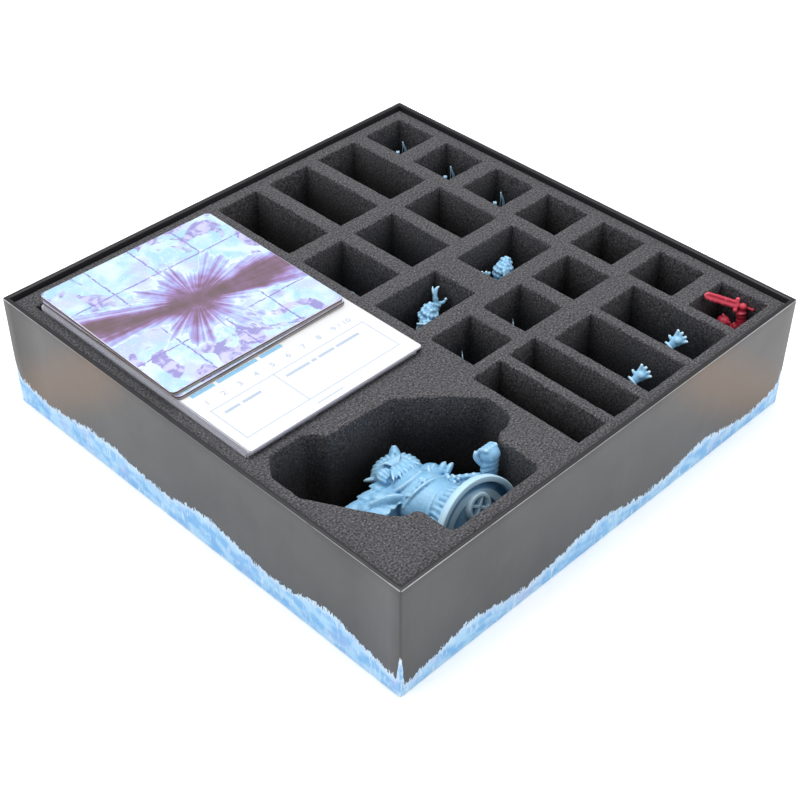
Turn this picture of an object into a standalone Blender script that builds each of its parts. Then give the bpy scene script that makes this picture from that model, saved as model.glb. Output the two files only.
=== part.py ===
"""Square board-game box base with a cut foam insert, its score pad, map tiles and figures.

Run with: blender --background --python part.py
Metres, +Z up. The origin is the middle of the box's underside. +X and +Y run along the box's
sides, and the corner at -X, -Y is called the near corner.
"""
import math

import bmesh
import bpy
from mathutils import Matrix, Vector

MM = 0.001

# ---- Driving dimensions, in metres -------------------------------------------------------------
BOX_WIDTH = 0.267         # outside, along X
BOX_DEPTH = 0.267         # outside, along Y
BOX_HEIGHT = 0.063        # outside
BOARD = 0.0014            # greyboard of the box
PAPER = 0.0003            # printed wrap, lining and corner stays
FIT = 0.0003              # gap kept between pieces that lie face to face
TURN_IN = 0.016           # wrap folded over the rim and down inside
STAY_LEG = 0.014          # each leg of a corner stay, round the corner

FOAM_BELOW_RIM = 0.003    # foam top under the box's rim
FOAM_BASE = 0.006         # uncut sheet under the cut block
FOAM_BORDER = 0.007       # foam left between the pockets and the box

FIGURE_BASE = 0.025       # round base of a small figure
FIGURE_BASE_HEIGHT = 0.003
POCKET_CLEAR = 0.0006     # round a figure's base, each side
LONG_POCKET = 0.0545      # along Y, back and near rows
MIDDLE_POCKET = 0.0405    # along Y, second row
WIDE_POCKET = 0.0405      # along X, third row
NARROW_POCKET = 0.061     # along Y, the two slots beside the beast
NEAR_WEB = 0.0063         # foam between the pockets of the near row
SQUARES = 7               # square pockets along the right side

BEAST_BASE = 0.050        # round base of the large figure
BEAST_BASE_HEIGHT = 0.0038
BEAST_BASE_LIP = 0.0024   # wall left round the hollow underside of its base
BEAST_CLEAR = 0.0020      # beside its base, each side
BEAST_LEAN = 17.0         # degrees that it lies back below level
BEAST_FROM_LEFT = 0.0303  # left edge of the pockets to the slot for its base
BEAST_SLOT_START = 0.0010 # near edge of the pockets to that slot
BEAST_NEAR_GAP = 0.0004   # slot's near end to the lowest edge of its base

PAD_WIDTH = 0.1035        # A6 score pad, along X
PAD_LENGTH = 0.1496
PAD_SHEETS = 0.0100       # thickness of the sheets together
PAD_BACKING = 0.0008
PAD_CLEAR = 0.0010        # round the pad in its recess
PAD_RECESS = 0.0074       # depth of the recess below the foam's top
PAD_FAR_BORDER = 0.0105   # foam behind the recess
PAD_CORNER = 0.0005

TILE = 0.1016             # square map tile
TILE_THICK = 0.0020
TILE_CORNER = 0.0025
# middle of each tile from the middle of the pad's far edge, and its turn in degrees
TILE_PLACES = {"tile_lower": (-0.0020, -0.0547, 0.3), "tile_upper": (-0.0024, -0.0540, -0.8)}

# ---- Levels and edges that follow from them ----------------------------------------------------
WALL = PAPER + FIT + BOARD + FIT + PAPER
FOAM_BOTTOM = WALL + FIT
POCKET_FLOOR = FOAM_BOTTOM + FOAM_BASE
GRID_BOTTOM = POCKET_FLOOR + FIT
FOAM_TOP = BOX_HEIGHT - FOAM_BELOW_RIM
FOAM_X = BOX_WIDTH / 2 - WALL - FIT
FOAM_Y = BOX_DEPTH / 2 - WALL - FIT
RIGHT = FOAM_X - FOAM_BORDER
LEFT = -RIGHT
FAR = FOAM_Y - FOAM_BORDER
NEAR = -FAR
CELL = FIGURE_BASE + 2 * POCKET_CLEAR
RECESS_WIDTH = PAD_WIDTH + 2 * PAD_CLEAR
COLUMN_WEB = (RIGHT - LEFT - RECESS_WIDTH - 4 * CELL) / 4
ROW_WEB = (FAR - NEAR - SQUARES * CELL) / (SQUARES - 1)

for leftover in list(bpy.data.objects):
    bpy.data.objects.remove(leftover, do_unlink=True)


# ---- Materials ---------------------------------------------------------------------------------
def material(name, colour, roughness, metallic=0.0):
    mat = bpy.data.materials.new(name)
    mat.use_nodes = True
    shader = mat.node_tree.nodes["Principled BSDF"]
    shader.inputs["Base Color"].default_value = (*colour, 1.0)
    shader.inputs["Roughness"].default_value = roughness
    shader.inputs["Metallic"].default_value = metallic
    return mat


GREYBOARD = material("greyboard", (0.33, 0.31, 0.28), 0.9)
PRINTED_WRAP = material("printed_wrap", (0.16, 0.16, 0.17), 0.38)
BLACK_LINING = material("black_lining", (0.012, 0.012, 0.013), 0.7)
GUMMED_TAPE = material("gummed_tape", (0.45, 0.34, 0.22), 0.8)
CUT_FOAM = material("cut_foam", (0.055, 0.054, 0.058), 0.95)
BASE_FOAM = material("base_foam", (0.045, 0.044, 0.047), 0.95)
PAD_PAPER = material("pad_paper", (0.90, 0.91, 0.94), 0.75)
PAD_CHIPBOARD = material("pad_chipboard", (0.42, 0.39, 0.34), 0.9)
TILE_PRINT = material("tile_print", (0.66, 0.68, 0.86), 0.45)
ICE_PLASTIC = material("ice_plastic", (0.22, 0.47, 0.74), 0.42)
RED_PLASTIC = material("red_plastic", (0.56, 0.03, 0.06), 0.40)


# ---- Shared shapes -----------------------------------------------------------------------------
def finish(bm, name, mat):
    """Turns a bmesh into a named object with its own copy of a material."""
    bmesh.ops.recalc_face_normals(bm, faces=bm.faces)
    mesh = bpy.data.meshes.new(name)
    bm.to_mesh(mesh)
    bm.free()
    obj = bpy.data.objects.new(name, mesh)
    bpy.context.collection.objects.link(obj)
    own = mat.copy()
    own.name = f"{name}_{mat.name}"
    mesh.materials.append(own)
    return obj


def rectangle(x0, x1, y0, y1):
    return [(x0, y0), (x1, y0), (x1, y1), (x0, y1)]


def rounded(corners, radius, steps=3):
    """An outline with each corner turned into an arc, as far as its two edges leave room."""
    points = []
    count = len(corners)
    for i, corner in enumerate(corners):
        here = Vector(corner)
        before = Vector(corners[i - 1]) - here
        after = Vector(corners[(i + 1) % count]) - here
        half_angle = before.angle(after) / 2
        reach = min(radius / math.tan(half_angle), before.length * 0.45, after.length * 0.45)
        arc = reach * math.tan(half_angle)
        middle = here + (before.normalized() + after.normalized()).normalized() * (
            arc / math.sin(half_angle)
        )
        first = here + before.normalized() * reach - middle
        last = here + after.normalized() * reach - middle
        sweep = first.angle_signed(last)
        for k in range(steps + 1):
            turned = first.copy()
            turned.rotate(Matrix.Rotation(-sweep * k / steps, 2))
            points.append(tuple(middle + turned))
    return points


def plate(name, mat, outline, bottom, top, holes=()):
    """A flat piece cut from a sheet: an outline with any holes through it."""
    bm = bmesh.new()
    edges = []
    for loop in (outline, *holes):
        verts = [bm.verts.new((x, y, bottom)) for x, y in loop]
        edges += [bm.edges.new((a, b)) for a, b in zip(verts, verts[1:] + verts[:1])]
    filled = bmesh.ops.triangle_fill(bm, edges=edges, use_beauty=True, use_dissolve=False)
    faces = [f for f in filled["geom"] if isinstance(f, bmesh.types.BMFace)]
    raised = bmesh.ops.extrude_face_region(bm, geom=faces)
    verts = [v for v in raised["geom"] if isinstance(v, bmesh.types.BMVert)]
    bmesh.ops.translate(bm, verts=verts, vec=(0, 0, top - bottom))
    return finish(bm, name, mat)


def square_shell(name, mat, profile):
    """A folded skin round the box: rectangular loops at (inset, height), joined in order."""
    bm = bmesh.new()
    rings = []
    for inset, height in profile:
        x = BOX_WIDTH / 2 - inset
        y = BOX_DEPTH / 2 - inset
        rings.append([bm.verts.new((px, py, height)) for px, py in rectangle(-x, x, -y, y)])
    for lower, upper in zip(rings, rings[1:]):
        for i in range(4):
            bm.faces.new((lower[i], lower[(i + 1) % 4], upper[(i + 1) % 4], upper[i]))
    bm.faces.new(rings[0])
    bm.faces.new(rings[-1])
    return finish(bm, name, mat)


def cut(obj, cutter):
    cutter.hide_render = True
    cutter.display_type = "WIRE"
    boolean = obj.modifiers.new("cut", "BOOLEAN")
    boolean.operation = "DIFFERENCE"
    boolean.solver = "EXACT"
    boolean.object = cutter


def disc(name, mat, radius, height, hollow_radius=0.0, hollow_depth=0.0, sides=32):
    """A round base standing on z = 0, with an open hollow underneath if it has one."""
    profile = [(radius, 0.0), (radius, height * 0.75), (radius - height * 0.25, height)]
    if hollow_radius:
        profile = [(hollow_radius, hollow_depth), (hollow_radius, 0.0), *profile]
    bm = bmesh.new()
    rings = []
    for r, z in profile:
        angles = [2 * math.pi * k / sides for k in range(sides)]
        rings.append([bm.verts.new((r * math.cos(a), r * math.sin(a), z)) for a in angles])
    for lower, upper in zip(rings, rings[1:]):
        for i in range(sides):
            j = (i + 1) % sides
            bm.faces.new((lower[i], lower[j], upper[j], upper[i]))
    bm.faces.new(rings[0])
    bm.faces.new(rings[-1])
    obj = finish(bm, name, mat)
    obj.data.shade_smooth()
    obj.data.set_sharp_from_angle(angle=math.radians(40))
    return obj


def limb(bm, start, end, start_radius, end_radius, sides):
    """A closed tapered shell with rounded ends, from start to end, given in millimetres."""
    a = Vector(start) * MM
    b = Vector(end) * MM
    along = (b - a).normalized()
    across = along.orthogonal().normalized()
    other = along.cross(across)
    rings = []
    for centre, radius in ((a, start_radius * MM), (b, end_radius * MM)):
        ring = []
        for k in range(sides):
            angle = 2 * math.pi * k / sides
            ring.append(bm.verts.new(
                centre + radius * (math.cos(angle) * across + math.sin(angle) * other)))
        rings.append(ring)
    low_tip = bm.verts.new(a - along * start_radius * MM * 0.6)
    high_tip = bm.verts.new(b + along * end_radius * MM * 0.6)
    for i in range(sides):
        j = (i + 1) % sides
        bm.faces.new((rings[0][i], rings[0][j], rings[1][j], rings[1][i]))
        bm.faces.new((rings[0][j], rings[0][i], low_tip))
        bm.faces.new((rings[1][i], rings[1][j], high_tip))


def moulded(name, mat, limbs, sides=6):
    """One plastic body: a trunk, the first of the limbs, united with all the others."""
    solids = []
    for label, group in ((name, limbs[:1]), (f"{name}_limbs", limbs[1:])):
        bm = bmesh.new()
        for start, end, start_radius, end_radius in group:
            limb(bm, start, end, start_radius, end_radius, sides)
        solids.append(finish(bm, label, mat))
    trunk, rest = solids
    rest.hide_render = True
    rest.display_type = "WIRE"
    union = trunk.modifiers.new("limbs", "BOOLEAN")
    union.operation = "UNION"
    union.solver = "EXACT"
    union.use_self = True
    union.object = rest
    rest.parent = trunk
    return trunk


# ---- Box ---------------------------------------------------------------------------------------
def stay_outline(sx, sy):
    """The L of a corner stay, set into the board's outer face at one corner."""
    x = BOX_WIDTH / 2 - PAPER - FIT
    y = BOX_DEPTH / 2 - PAPER - FIT
    corners = [(x, y), (x - STAY_LEG, y), (x - STAY_LEG, y - PAPER), (x - PAPER, y - PAPER),
               (x - PAPER, y - STAY_LEG), (x, y - STAY_LEG)]
    return [(sx * px, sy * py) for px, py in corners]


def board_outline():
    """The board's outer edge, with a shallow rebate for the stay at each corner."""
    x = BOX_WIDTH / 2 - PAPER - FIT
    y = BOX_DEPTH / 2 - PAPER - FIT
    leg = STAY_LEG + FIT
    sunk = PAPER + FIT
    quarter = [(x, y - leg), (x - sunk, y - leg), (x - sunk, y - sunk), (x - leg, y - sunk),
               (x - leg, y)]
    points = []
    for sx, sy in ((1, 1), (-1, 1), (-1, -1), (1, -1)):
        corner = [(sx * px, sy * py) for px, py in quarter]
        points += corner if sx == sy else corner[::-1]
    return points


def box():
    bottom = PAPER + FIT
    top = BOX_HEIGHT - PAPER - FIT
    board = plate("box_board", GREYBOARD, board_outline(), bottom, top)
    inside = PAPER + FIT + BOARD
    room = rectangle(inside - BOX_WIDTH / 2, BOX_WIDTH / 2 - inside,
                     inside - BOX_DEPTH / 2, BOX_DEPTH / 2 - inside)
    cut(board, plate("box_board_room", GREYBOARD, room, bottom + BOARD, BOX_HEIGHT))
    for number, (sx, sy) in enumerate(((-1, -1), (1, -1), (1, 1), (-1, 1)), start=1):
        plate(f"corner_stay_{number}", GUMMED_TAPE, stay_outline(sx, sy), bottom, top)

    hem = BOX_HEIGHT - TURN_IN
    square_shell("box_wrap", PRINTED_WRAP, [
        (0, 0), (0, BOX_HEIGHT), (WALL, BOX_HEIGHT), (WALL, hem), (WALL - PAPER, hem),
        (WALL - PAPER, BOX_HEIGHT - PAPER), (PAPER, BOX_HEIGHT - PAPER), (PAPER, PAPER)])
    floor = WALL - PAPER
    square_shell("box_lining", BLACK_LINING, [
        (floor, floor), (floor, hem - FIT), (WALL, hem - FIT), (WALL, WALL)])


# ---- Foam insert -------------------------------------------------------------------------------
def pockets():
    """Every straight-sided pocket, as name: (x0, x1, y0, y1)."""
    found = {}
    square_left = RIGHT - CELL
    pitch = CELL + ROW_WEB
    for i in range(SQUARES):
        near = NEAR + i * pitch
        found[f"square_{i + 1}"] = (square_left, RIGHT, near, near + CELL)

    column = CELL + COLUMN_WEB
    lefts = [square_left - k * column for k in (3, 2, 1)]
    rows = {}
    far = FAR
    for row, length in (("long", LONG_POCKET), ("middle", MIDDLE_POCKET), ("wide", CELL),
                        ("small", CELL)):
        rows[row] = (far - length, far)
        far -= length + ROW_WEB
    for row in ("long", "middle", "small"):
        for number, left in enumerate(lefts, start=1):
            found[f"{row}_{number}"] = (left, left + CELL, *rows[row])
    found["wide_1"] = (lefts[0], lefts[0] + WIDE_POCKET, *rows["wide"])
    found["wide_2"] = (lefts[2] + CELL - WIDE_POCKET, lefts[2] + CELL, *rows["wide"])

    right = square_left - NEAR_WEB
    for number in (2, 1):
        found[f"near_{number}"] = (right - CELL, right, NEAR, NEAR + LONG_POCKET)
        right -= CELL + NEAR_WEB
    left = max(x for x, _ in beast_outline()) + NEAR_WEB
    width = (right - left - NEAR_WEB) / 2
    for number in (1, 2):
        found[f"narrow_{number}"] = (left, left + width, NEAR, NEAR + NARROW_POCKET)
        left += width + NEAR_WEB
    return found


def pad_recess():
    far = FOAM_Y - PAD_FAR_BORDER
    return LEFT, LEFT + RECESS_WIDTH, far - PAD_LENGTH - 2 * PAD_CLEAR, far


def beast_middle():
    """X of the large figure's base, which stands across the slot at the pocket's near end."""
    return LEFT + BEAST_FROM_LEFT + BEAST_BASE / 2 + BEAST_CLEAR


def beast_outline():
    """The pocket that follows the large figure: a slot for its base, widening to its arms."""
    slot = BEAST_BASE / 2 + BEAST_CLEAR
    left = [(0, 0), (0, 18.5), (-7, 20), (-12, 25.5), (-20.5, 40.5), (-30, 57.5), (-30, 75),
            (-22.5, 85), (-3, 85.2), (4, 77.2)]
    right = [(-13.5, 75.8), (8.5, 56.5), (17.3, 46), (16, 31.5), (9.5, 27.5), (3.5, 27.5),
             (0, 23.7), (0, 0)]
    middle = beast_middle()
    start = NEAR + BEAST_SLOT_START
    points = [(middle - slot + x * MM, start + y * MM) for x, y in left]
    points += [(middle + slot + x * MM, start + y * MM) for x, y in right]
    return rounded(points[::-1], 4 * MM)


def foam():
    whole = rectangle(-FOAM_X, FOAM_X, -FOAM_Y, FOAM_Y)
    plate("foam_base", BASE_FOAM, whole, FOAM_BOTTOM, POCKET_FLOOR)
    recess = rectangle(*pad_recess())
    holes = [recess, beast_outline()] + [rectangle(*place) for place in pockets().values()]
    plate("foam_grid", CUT_FOAM, whole, GRID_BOTTOM, FOAM_TOP, holes)
    x0, x1, y0, y1 = pad_recess()
    block = rectangle(x0 + FIT, x1 - FIT, y0 + FIT, y1 - FIT)
    plate("foam_riser", CUT_FOAM, block, GRID_BOTTOM, FOAM_TOP - PAD_RECESS)


# ---- Score pad and map tiles -------------------------------------------------------------------
def pad_and_tiles():
    x0, x1, y0, y1 = pad_recess()
    middle = (x0 + x1) / 2
    far = y1 - PAD_CLEAR
    sheet = rounded(rectangle(middle - PAD_WIDTH / 2, middle + PAD_WIDTH / 2,
                              far - PAD_LENGTH, far), PAD_CORNER)
    level = FOAM_TOP - PAD_RECESS + FIT
    plate("pad_backing", PAD_CHIPBOARD, sheet, level, level + PAD_BACKING)
    level += PAD_BACKING + FIT
    plate("pad_sheets", PAD_PAPER, sheet, level, level + PAD_SHEETS)
    level += PAD_SHEETS + FIT
    half = TILE / 2
    for name, (along_x, along_y, turn) in TILE_PLACES.items():
        outline = rounded(rectangle(-half, half, -half, half), TILE_CORNER)
        place = Matrix.Rotation(math.radians(turn), 2)
        turned = [place @ Vector(p) + Vector((middle + along_x, far + along_y)) for p in outline]
        plate(name, TILE_PRINT, [tuple(p) for p in turned], level, level + TILE_THICK)
        level += TILE_THICK + FIT


# ---- Figures -----------------------------------------------------------------------------------
# Limbs are (start, end, start radius, end radius) in millimetres from the middle of the base's
# top: X and Y as the box's, Z up. The trunk comes first.
def standing(lean_x, lean_y, height, girth=1.0):
    """Trunk, head and two legs of a figure whose head is at (lean_x, lean_y, height)."""
    hip = (lean_x * 0.2, lean_y * 0.2, height * 0.46)
    chest = (lean_x * 0.75, lean_y * 0.75, height * 0.76)
    return [
        (hip, chest, 4.2 * girth, 5.0 * girth),
        (chest, (lean_x, lean_y, height), 2.6 * girth, 3.2 * girth),
        (hip, (-4.5, 1.5, 1.4), 3.6 * girth, 2.2 * girth),
        (hip, (4.5, -1.5, 1.4), 3.6 * girth, 2.2 * girth),
    ]


def bow(x, y, middle, reach, steps=6):
    """A bow's stave as a chain of short limbs along an arc in the XZ plane."""
    points = []
    for k in range(steps + 1):
        angle = math.radians(-72 + 144 * k / steps)
        points.append((x + reach * 0.42 * math.cos(angle), y, middle + reach * math.sin(angle)))
    return [(a, b, 1.0, 1.0) for a, b in zip(points, points[1:])]


ARCHER = [
    *standing(-1.0, 0.5, 32),
    ((-2.5, 0.5, 24), (2.5, 3.0, 27), 2.4, 1.8),
    ((2.5, 3.0, 27), (6.2, 2.2, 27.5), 1.9, 1.6),
    ((-3.5, 0.5, 24), (-7.5, -2.5, 20), 2.3, 1.7),
    *bow(1.8, 2.0, 26, 14),
]
PROWLER = [
    *standing(-5.5, 1.0, 34, 1.15),
    ((-4.0, 1.0, 27), (-8.8, -4.0, 24), 3.0, 2.2),
    ((-3.0, 1.5, 27), (3.5, 7.0, 21), 2.8, 2.0),
    ((0.5, 4.0, 24), (1.5, -5.0, 30), 3.0, 1.8),
]
CLAWED = [
    *standing(4.5, 3.0, 34, 1.2),
    ((3.0, 1.5, 30), (8.5, 4.5, 31), 4.2, 3.0),
    ((8.5, 4.5, 31), (13.2, 5.2, 37), 2.9, 2.2),
    ((13.2, 5.2, 37), (16.0, 8.0, 42.0), 1.9, 1.2),
    ((13.2, 5.2, 36), (17.2, 3.4, 36.5), 1.5, 1.0),
    ((0.0, 0.0, 29), (-7.5, -3.5, 29), 4.4, 3.2),
    ((-7.5, -3.5, 29), (-9.5, -5.5, 33.5), 3.0, 2.4),
]
SHAGGY = [
    *standing(-0.5, 0.5, 34, 1.35),
    ((-4.0, 1.0, 34), (5.0, -1.0, 34), 4.6, 4.4),
    ((-3.0, 0.5, 28), (-10.8, 0.0, 30), 3.6, 2.8),
    ((-10.8, 0.0, 30), (-11.4, -1.6, 42), 2.7, 2.3),
    ((4.0, 0.0, 27), (9.0, -3.0, 18), 3.8, 2.8),
]
GRASPER = [
    *standing(0.5, -1.0, 29),
    ((1.0, -1.0, 24), (-5.5, 0.0, 28), 2.9, 2.4),
    ((-5.5, 0.0, 28), (-6.5, 0.5, 38), 2.5, 2.2),
    ((-6.5, 0.5, 38), (-3.5, 0.0, 42), 2.6, 3.4),
    ((-3.5, 0.0, 42), (2.0, 2.0, 43.5), 1.1, 0.9),
    ((-3.5, 0.0, 42), (2.5, -2.5, 43), 1.1, 0.9),
    ((-4.0, 1.5, 42), (-2.0, 5.5, 43), 1.1, 0.9),
    ((2.0, -1.0, 23), (8.0, -4.0, 19), 2.6, 2.0),
]
SPEARMAN = [
    *standing(0.0, 1.0, 31),
    ((0.5, 0.5, 24), (-3.5, -4.0, 26), 2.4, 1.8),
    ((-4.0, -5.0, 3.0), (-1.5, -0.5, 42), 1.0, 0.9),
    ((-3.5, -4.0, 26), (-2.6, -3.0, 25.5), 2.2, 2.2),
    ((2.0, 1.0, 24), (7.5, 2.0, 18), 2.4, 1.8),
]
KNIGHT = [
    *standing(4.0, 4.0, 34),
    ((3.0, 2.0, 26), (7.5, -3.5, 30), 2.7, 2.2),
    ((7.5, -3.5, 30), (9.6, -2.0, 40.5), 2.3, 2.0),
    ((10.6, -5.0, 40.2), (8.4, 1.5, 42.2), 1.2, 1.2),
    ((5.2, 1.0, 43.0), (10.8, 1.0, 41.2), 1.2, 1.2),
    ((8.4, 1.5, 42.2), (-0.4, 10.8, 45.0), 1.9, 1.6),
    ((1.0, 2.0, 26), (-6.5, 0.0, 20), 2.5, 2.0),
]
# The large figure, upright on its base before it is laid back: X across, -Y its front.
BEAST = [
    ((-1.0, -8.0, 14), (-3.5, -15.0, 34), 12.0, 13.5),
    ((-3.5, -16.0, 36), (-3.5, -22.0, 48), 10.0, 8.5),
    ((-4.0, -8.0, 15), (-11.0, 0.0, 4.6), 8.0, 5.0),
    ((4.0, -8.0, 15), (11.0, 0.0, 4.6), 8.0, 5.0),
    ((-10.0, -15.0, 35), (-25.0, -16.0, 31), 9.0, 7.0),
    ((-25.0, -16.0, 31), (-31.5, -19.0, 24), 7.0, 6.5),
    ((6.0, -15.0, 34), (16.0, -14.0, 22), 8.5, 6.5),
    ((16.0, -14.0, 22), (19.0, -14.5, 11), 6.5, 5.0),
    ((19.0, -14.5, 11), (19.0, -24.5, 8), 5.0, 5.0),
    ((-3.0, -10.0, 38), (-3.0, 3.0, 43), 9.0, 6.0),
]

# body name: (pocket, how far off the pocket's middle the base stands, along X and Y, as a
# share of its free room there, limbs, plastic)
SMALL_FIGURES = {
    "knight": ("square_1", (0, 0), KNIGHT, RED_PLASTIC),
    "archer_1": ("square_5", (0, 0), ARCHER, ICE_PLASTIC),
    "archer_2": ("square_6", (0, 0), ARCHER, ICE_PLASTIC),
    "archer_3": ("square_7", (0, 0), ARCHER, ICE_PLASTIC),
    "prowler_1": ("middle_1", (0, -0.84), PROWLER, ICE_PLASTIC),
    "prowler_2": ("middle_2", (0, -0.84), PROWLER, ICE_PLASTIC),
    "clawed": ("wide_1", (0.19, 0), CLAWED, ICE_PLASTIC),
    "shaggy": ("wide_2", (-0.71, 0), SHAGGY, ICE_PLASTIC),
    "spearman_1": ("small_1", (0, 0), SPEARMAN, ICE_PLASTIC),
    "spearman_2": ("small_2", (0, 0), SPEARMAN, ICE_PLASTIC),
    "grasper_1": ("near_1", (0, -0.92), GRASPER, ICE_PLASTIC),
    "grasper_2": ("near_2", (0, -0.65), GRASPER, ICE_PLASTIC),
}


def small_figures():
    places = pockets()
    for name, (pocket, (along_x, along_y), limbs, plastic) in SMALL_FIGURES.items():
        x0, x1, y0, y1 = places[pocket]
        x = (x0 + x1) / 2 + along_x * (x1 - x0 - FIGURE_BASE) / 2
        y = (y0 + y1) / 2 + along_y * (y1 - y0 - FIGURE_BASE) / 2
        spot = Vector((x, y, GRID_BOTTOM))
        base = disc(f"{name}_base", plastic, FIGURE_BASE / 2, FIGURE_BASE_HEIGHT, sides=24)
        base.location = spot
        figure = moulded(f"{name}_figure", plastic, limbs)
        figure.location = spot + Vector((0, 0, FIGURE_BASE_HEIGHT + FIT))


def beast():
    """The large figure lies on its back, with its base on edge across the slot."""
    radius = BEAST_BASE / 2
    lean = math.radians(BEAST_LEAN)
    stand = bpy.data.objects.new("beast_stand", None)
    bpy.context.collection.objects.link(stand)
    lowest = radius * math.cos(lean) + BEAST_BASE_HEIGHT * math.sin(lean)
    behind = BEAST_SLOT_START + BEAST_NEAR_GAP + radius * math.sin(lean)
    stand.location = (beast_middle(), NEAR + behind, GRID_BOTTOM + lowest)
    stand.rotation_euler = (-math.pi / 2 - lean, 0, 0)
    base = disc("beast_base", ICE_PLASTIC, radius, BEAST_BASE_HEIGHT,
                radius - BEAST_BASE_LIP, BEAST_BASE_HEIGHT * 0.6, sides=40)
    base.parent = stand
    figure = moulded("beast_figure", ICE_PLASTIC, BEAST, sides=8)
    figure.parent = stand
    figure.location = (0, 0, BEAST_BASE_HEIGHT + FIT)


box()
foam()
pad_and_tiles()
small_figures()
beast()
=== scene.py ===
import math

import bmesh
import bpy
import numpy as np
from mathutils import Matrix, Vector, geometry, noise


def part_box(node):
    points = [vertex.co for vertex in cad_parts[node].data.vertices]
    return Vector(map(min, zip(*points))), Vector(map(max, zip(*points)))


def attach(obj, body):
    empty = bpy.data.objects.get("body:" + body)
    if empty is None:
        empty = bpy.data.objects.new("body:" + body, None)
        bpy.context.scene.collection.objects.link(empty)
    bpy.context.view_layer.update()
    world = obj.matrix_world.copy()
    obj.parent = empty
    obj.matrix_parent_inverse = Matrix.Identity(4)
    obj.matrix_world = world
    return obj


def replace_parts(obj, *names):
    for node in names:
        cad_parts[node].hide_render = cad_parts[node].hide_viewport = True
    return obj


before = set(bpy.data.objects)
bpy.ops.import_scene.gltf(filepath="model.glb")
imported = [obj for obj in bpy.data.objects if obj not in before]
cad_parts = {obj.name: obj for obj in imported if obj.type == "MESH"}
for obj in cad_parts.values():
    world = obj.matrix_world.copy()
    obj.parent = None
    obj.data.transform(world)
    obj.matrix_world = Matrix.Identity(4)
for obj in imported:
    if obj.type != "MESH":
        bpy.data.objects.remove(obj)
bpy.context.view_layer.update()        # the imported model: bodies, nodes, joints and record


# ---- Greyboard and corner stays ------------------------------------------------------------
# The box is folded from 1.4 mm bookbinding board, scored and closed at its four corners with
# L-shaped stays of brown gummed paper. Both are hidden once the box is covered.
class Value:
    """A socket in a finish's node tree. Arithmetic on it adds Math nodes to that tree."""

    def __init__(self, tree, socket):
        self.tree = tree
        self.socket = socket

    def node(self, kind, sockets, output=0, stops=(), **settings):
        """Adds any node: its settings first, then the values or links of its sockets."""
        made = self.tree.nodes.new(kind)
        for name, setting in settings.items():
            setattr(made, name, setting)
        if stops:
            ramp = made.color_ramp
            ramp.elements.remove(ramp.elements[1])
            for number, (place, colour) in enumerate(stops):
                stop = ramp.elements.new(place) if number else ramp.elements[0]
                stop.position = place
                stop.color = (*colour, 1.0)
        for name, value in sockets.items():
            socket = made.inputs[name]
            if isinstance(value, Value):
                self.tree.links.new(value.socket, socket)
            elif socket.type == "RGBA":
                socket.default_value = (*value, 1.0)
            else:
                socket.default_value = value
        return Value(self.tree, made.outputs[output])

    def maths(self, operation, *operands):
        return self.node("ShaderNodeMath", dict(enumerate(operands)), operation=operation)

    def __add__(self, other):
        return self.maths("ADD", self, other)

    __radd__ = __add__

    def __sub__(self, other):
        return self.maths("SUBTRACT", self, other)

    def __rsub__(self, other):
        return self.maths("SUBTRACT", other, self)

    def __mul__(self, other):
        return self.maths("MULTIPLY", self, other)

    __rmul__ = __mul__

    def __truediv__(self, other):
        return self.maths("DIVIDE", self, other)

    def __abs__(self):
        return self.maths("ABSOLUTE", self)

    def axis(self, letter):
        return self.node("ShaderNodeSeparateXYZ", {0: self}, letter)

    def rise(self, low, high):
        """0 below low, 1 above high, eased in between."""
        return self.node("ShaderNodeMapRange", {"Value": self, "From Min": low, "From Max": high},
                         interpolation_type="SMOOTHSTEP")

    def mix(self, low, high):
        """The colour that goes from low to high as this value goes from 0 to 1."""
        return self.node("ShaderNodeMix", {0: self, 6: low, 7: high}, 2, data_type="RGBA")


def grain(at, scale, detail=2.0, turn=0.0, **sockets):
    """Noise from 0 to 1 over a vector. Three scales stretch it, after a turn about Z in degrees."""
    if isinstance(scale, tuple):
        at = at.node("ShaderNodeMapping", {"Vector": at, "Rotation": (0, 0, math.radians(turn))})
        at = at.node("ShaderNodeVectorMath", {0: at, 1: scale}, operation="MULTIPLY")
        scale = 1.0
    return at.node("ShaderNodeTexNoise", {"Vector": at, "Scale": scale, "Detail": detail, **sockets})


def relief(height, depth, strength=1.0):
    """A bumped normal from a height of 0 to 1 that stands for a depth in metres."""
    return height.node("ShaderNodeBump", {"Height": height, "Distance": depth, "Strength": strength})


def new_finish(name):
    """An empty finish, and the Object coordinates that its pattern starts from."""
    mat = bpy.data.materials.new(name)
    mat.use_nodes = True
    tree = mat.node_tree
    return mat, Value(tree, tree.nodes.new("ShaderNodeTexCoord").outputs["Object"])


def settle(mat, surface):
    """Sets or links the sockets of a finish's shader."""
    shader = mat.node_tree.nodes["Principled BSDF"]
    for name, value in surface.items():
        if isinstance(value, Value):
            mat.node_tree.links.new(value.socket, shader.inputs[name])
        else:
            shader.inputs[name].default_value = value


def dress(node, mat):
    """Gives a carried-over CAD node its finish."""
    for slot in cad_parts[node].material_slots:
        slot.material = mat


greyboard, at = new_finish("greyboard")
pulp = grain(at, 420.0, 4.0)
flecks = grain(at, 1900.0, 1.0).rise(0.62, 0.72)
settle(greyboard, {
    "Base Color": flecks.mix(pulp.mix((0.20, 0.185, 0.16), (0.36, 0.33, 0.29)), (0.11, 0.10, 0.09)),
    "Roughness": 0.88,
    "Normal": relief(pulp, 0.0001),
})
dress("box_board", greyboard)

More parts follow.
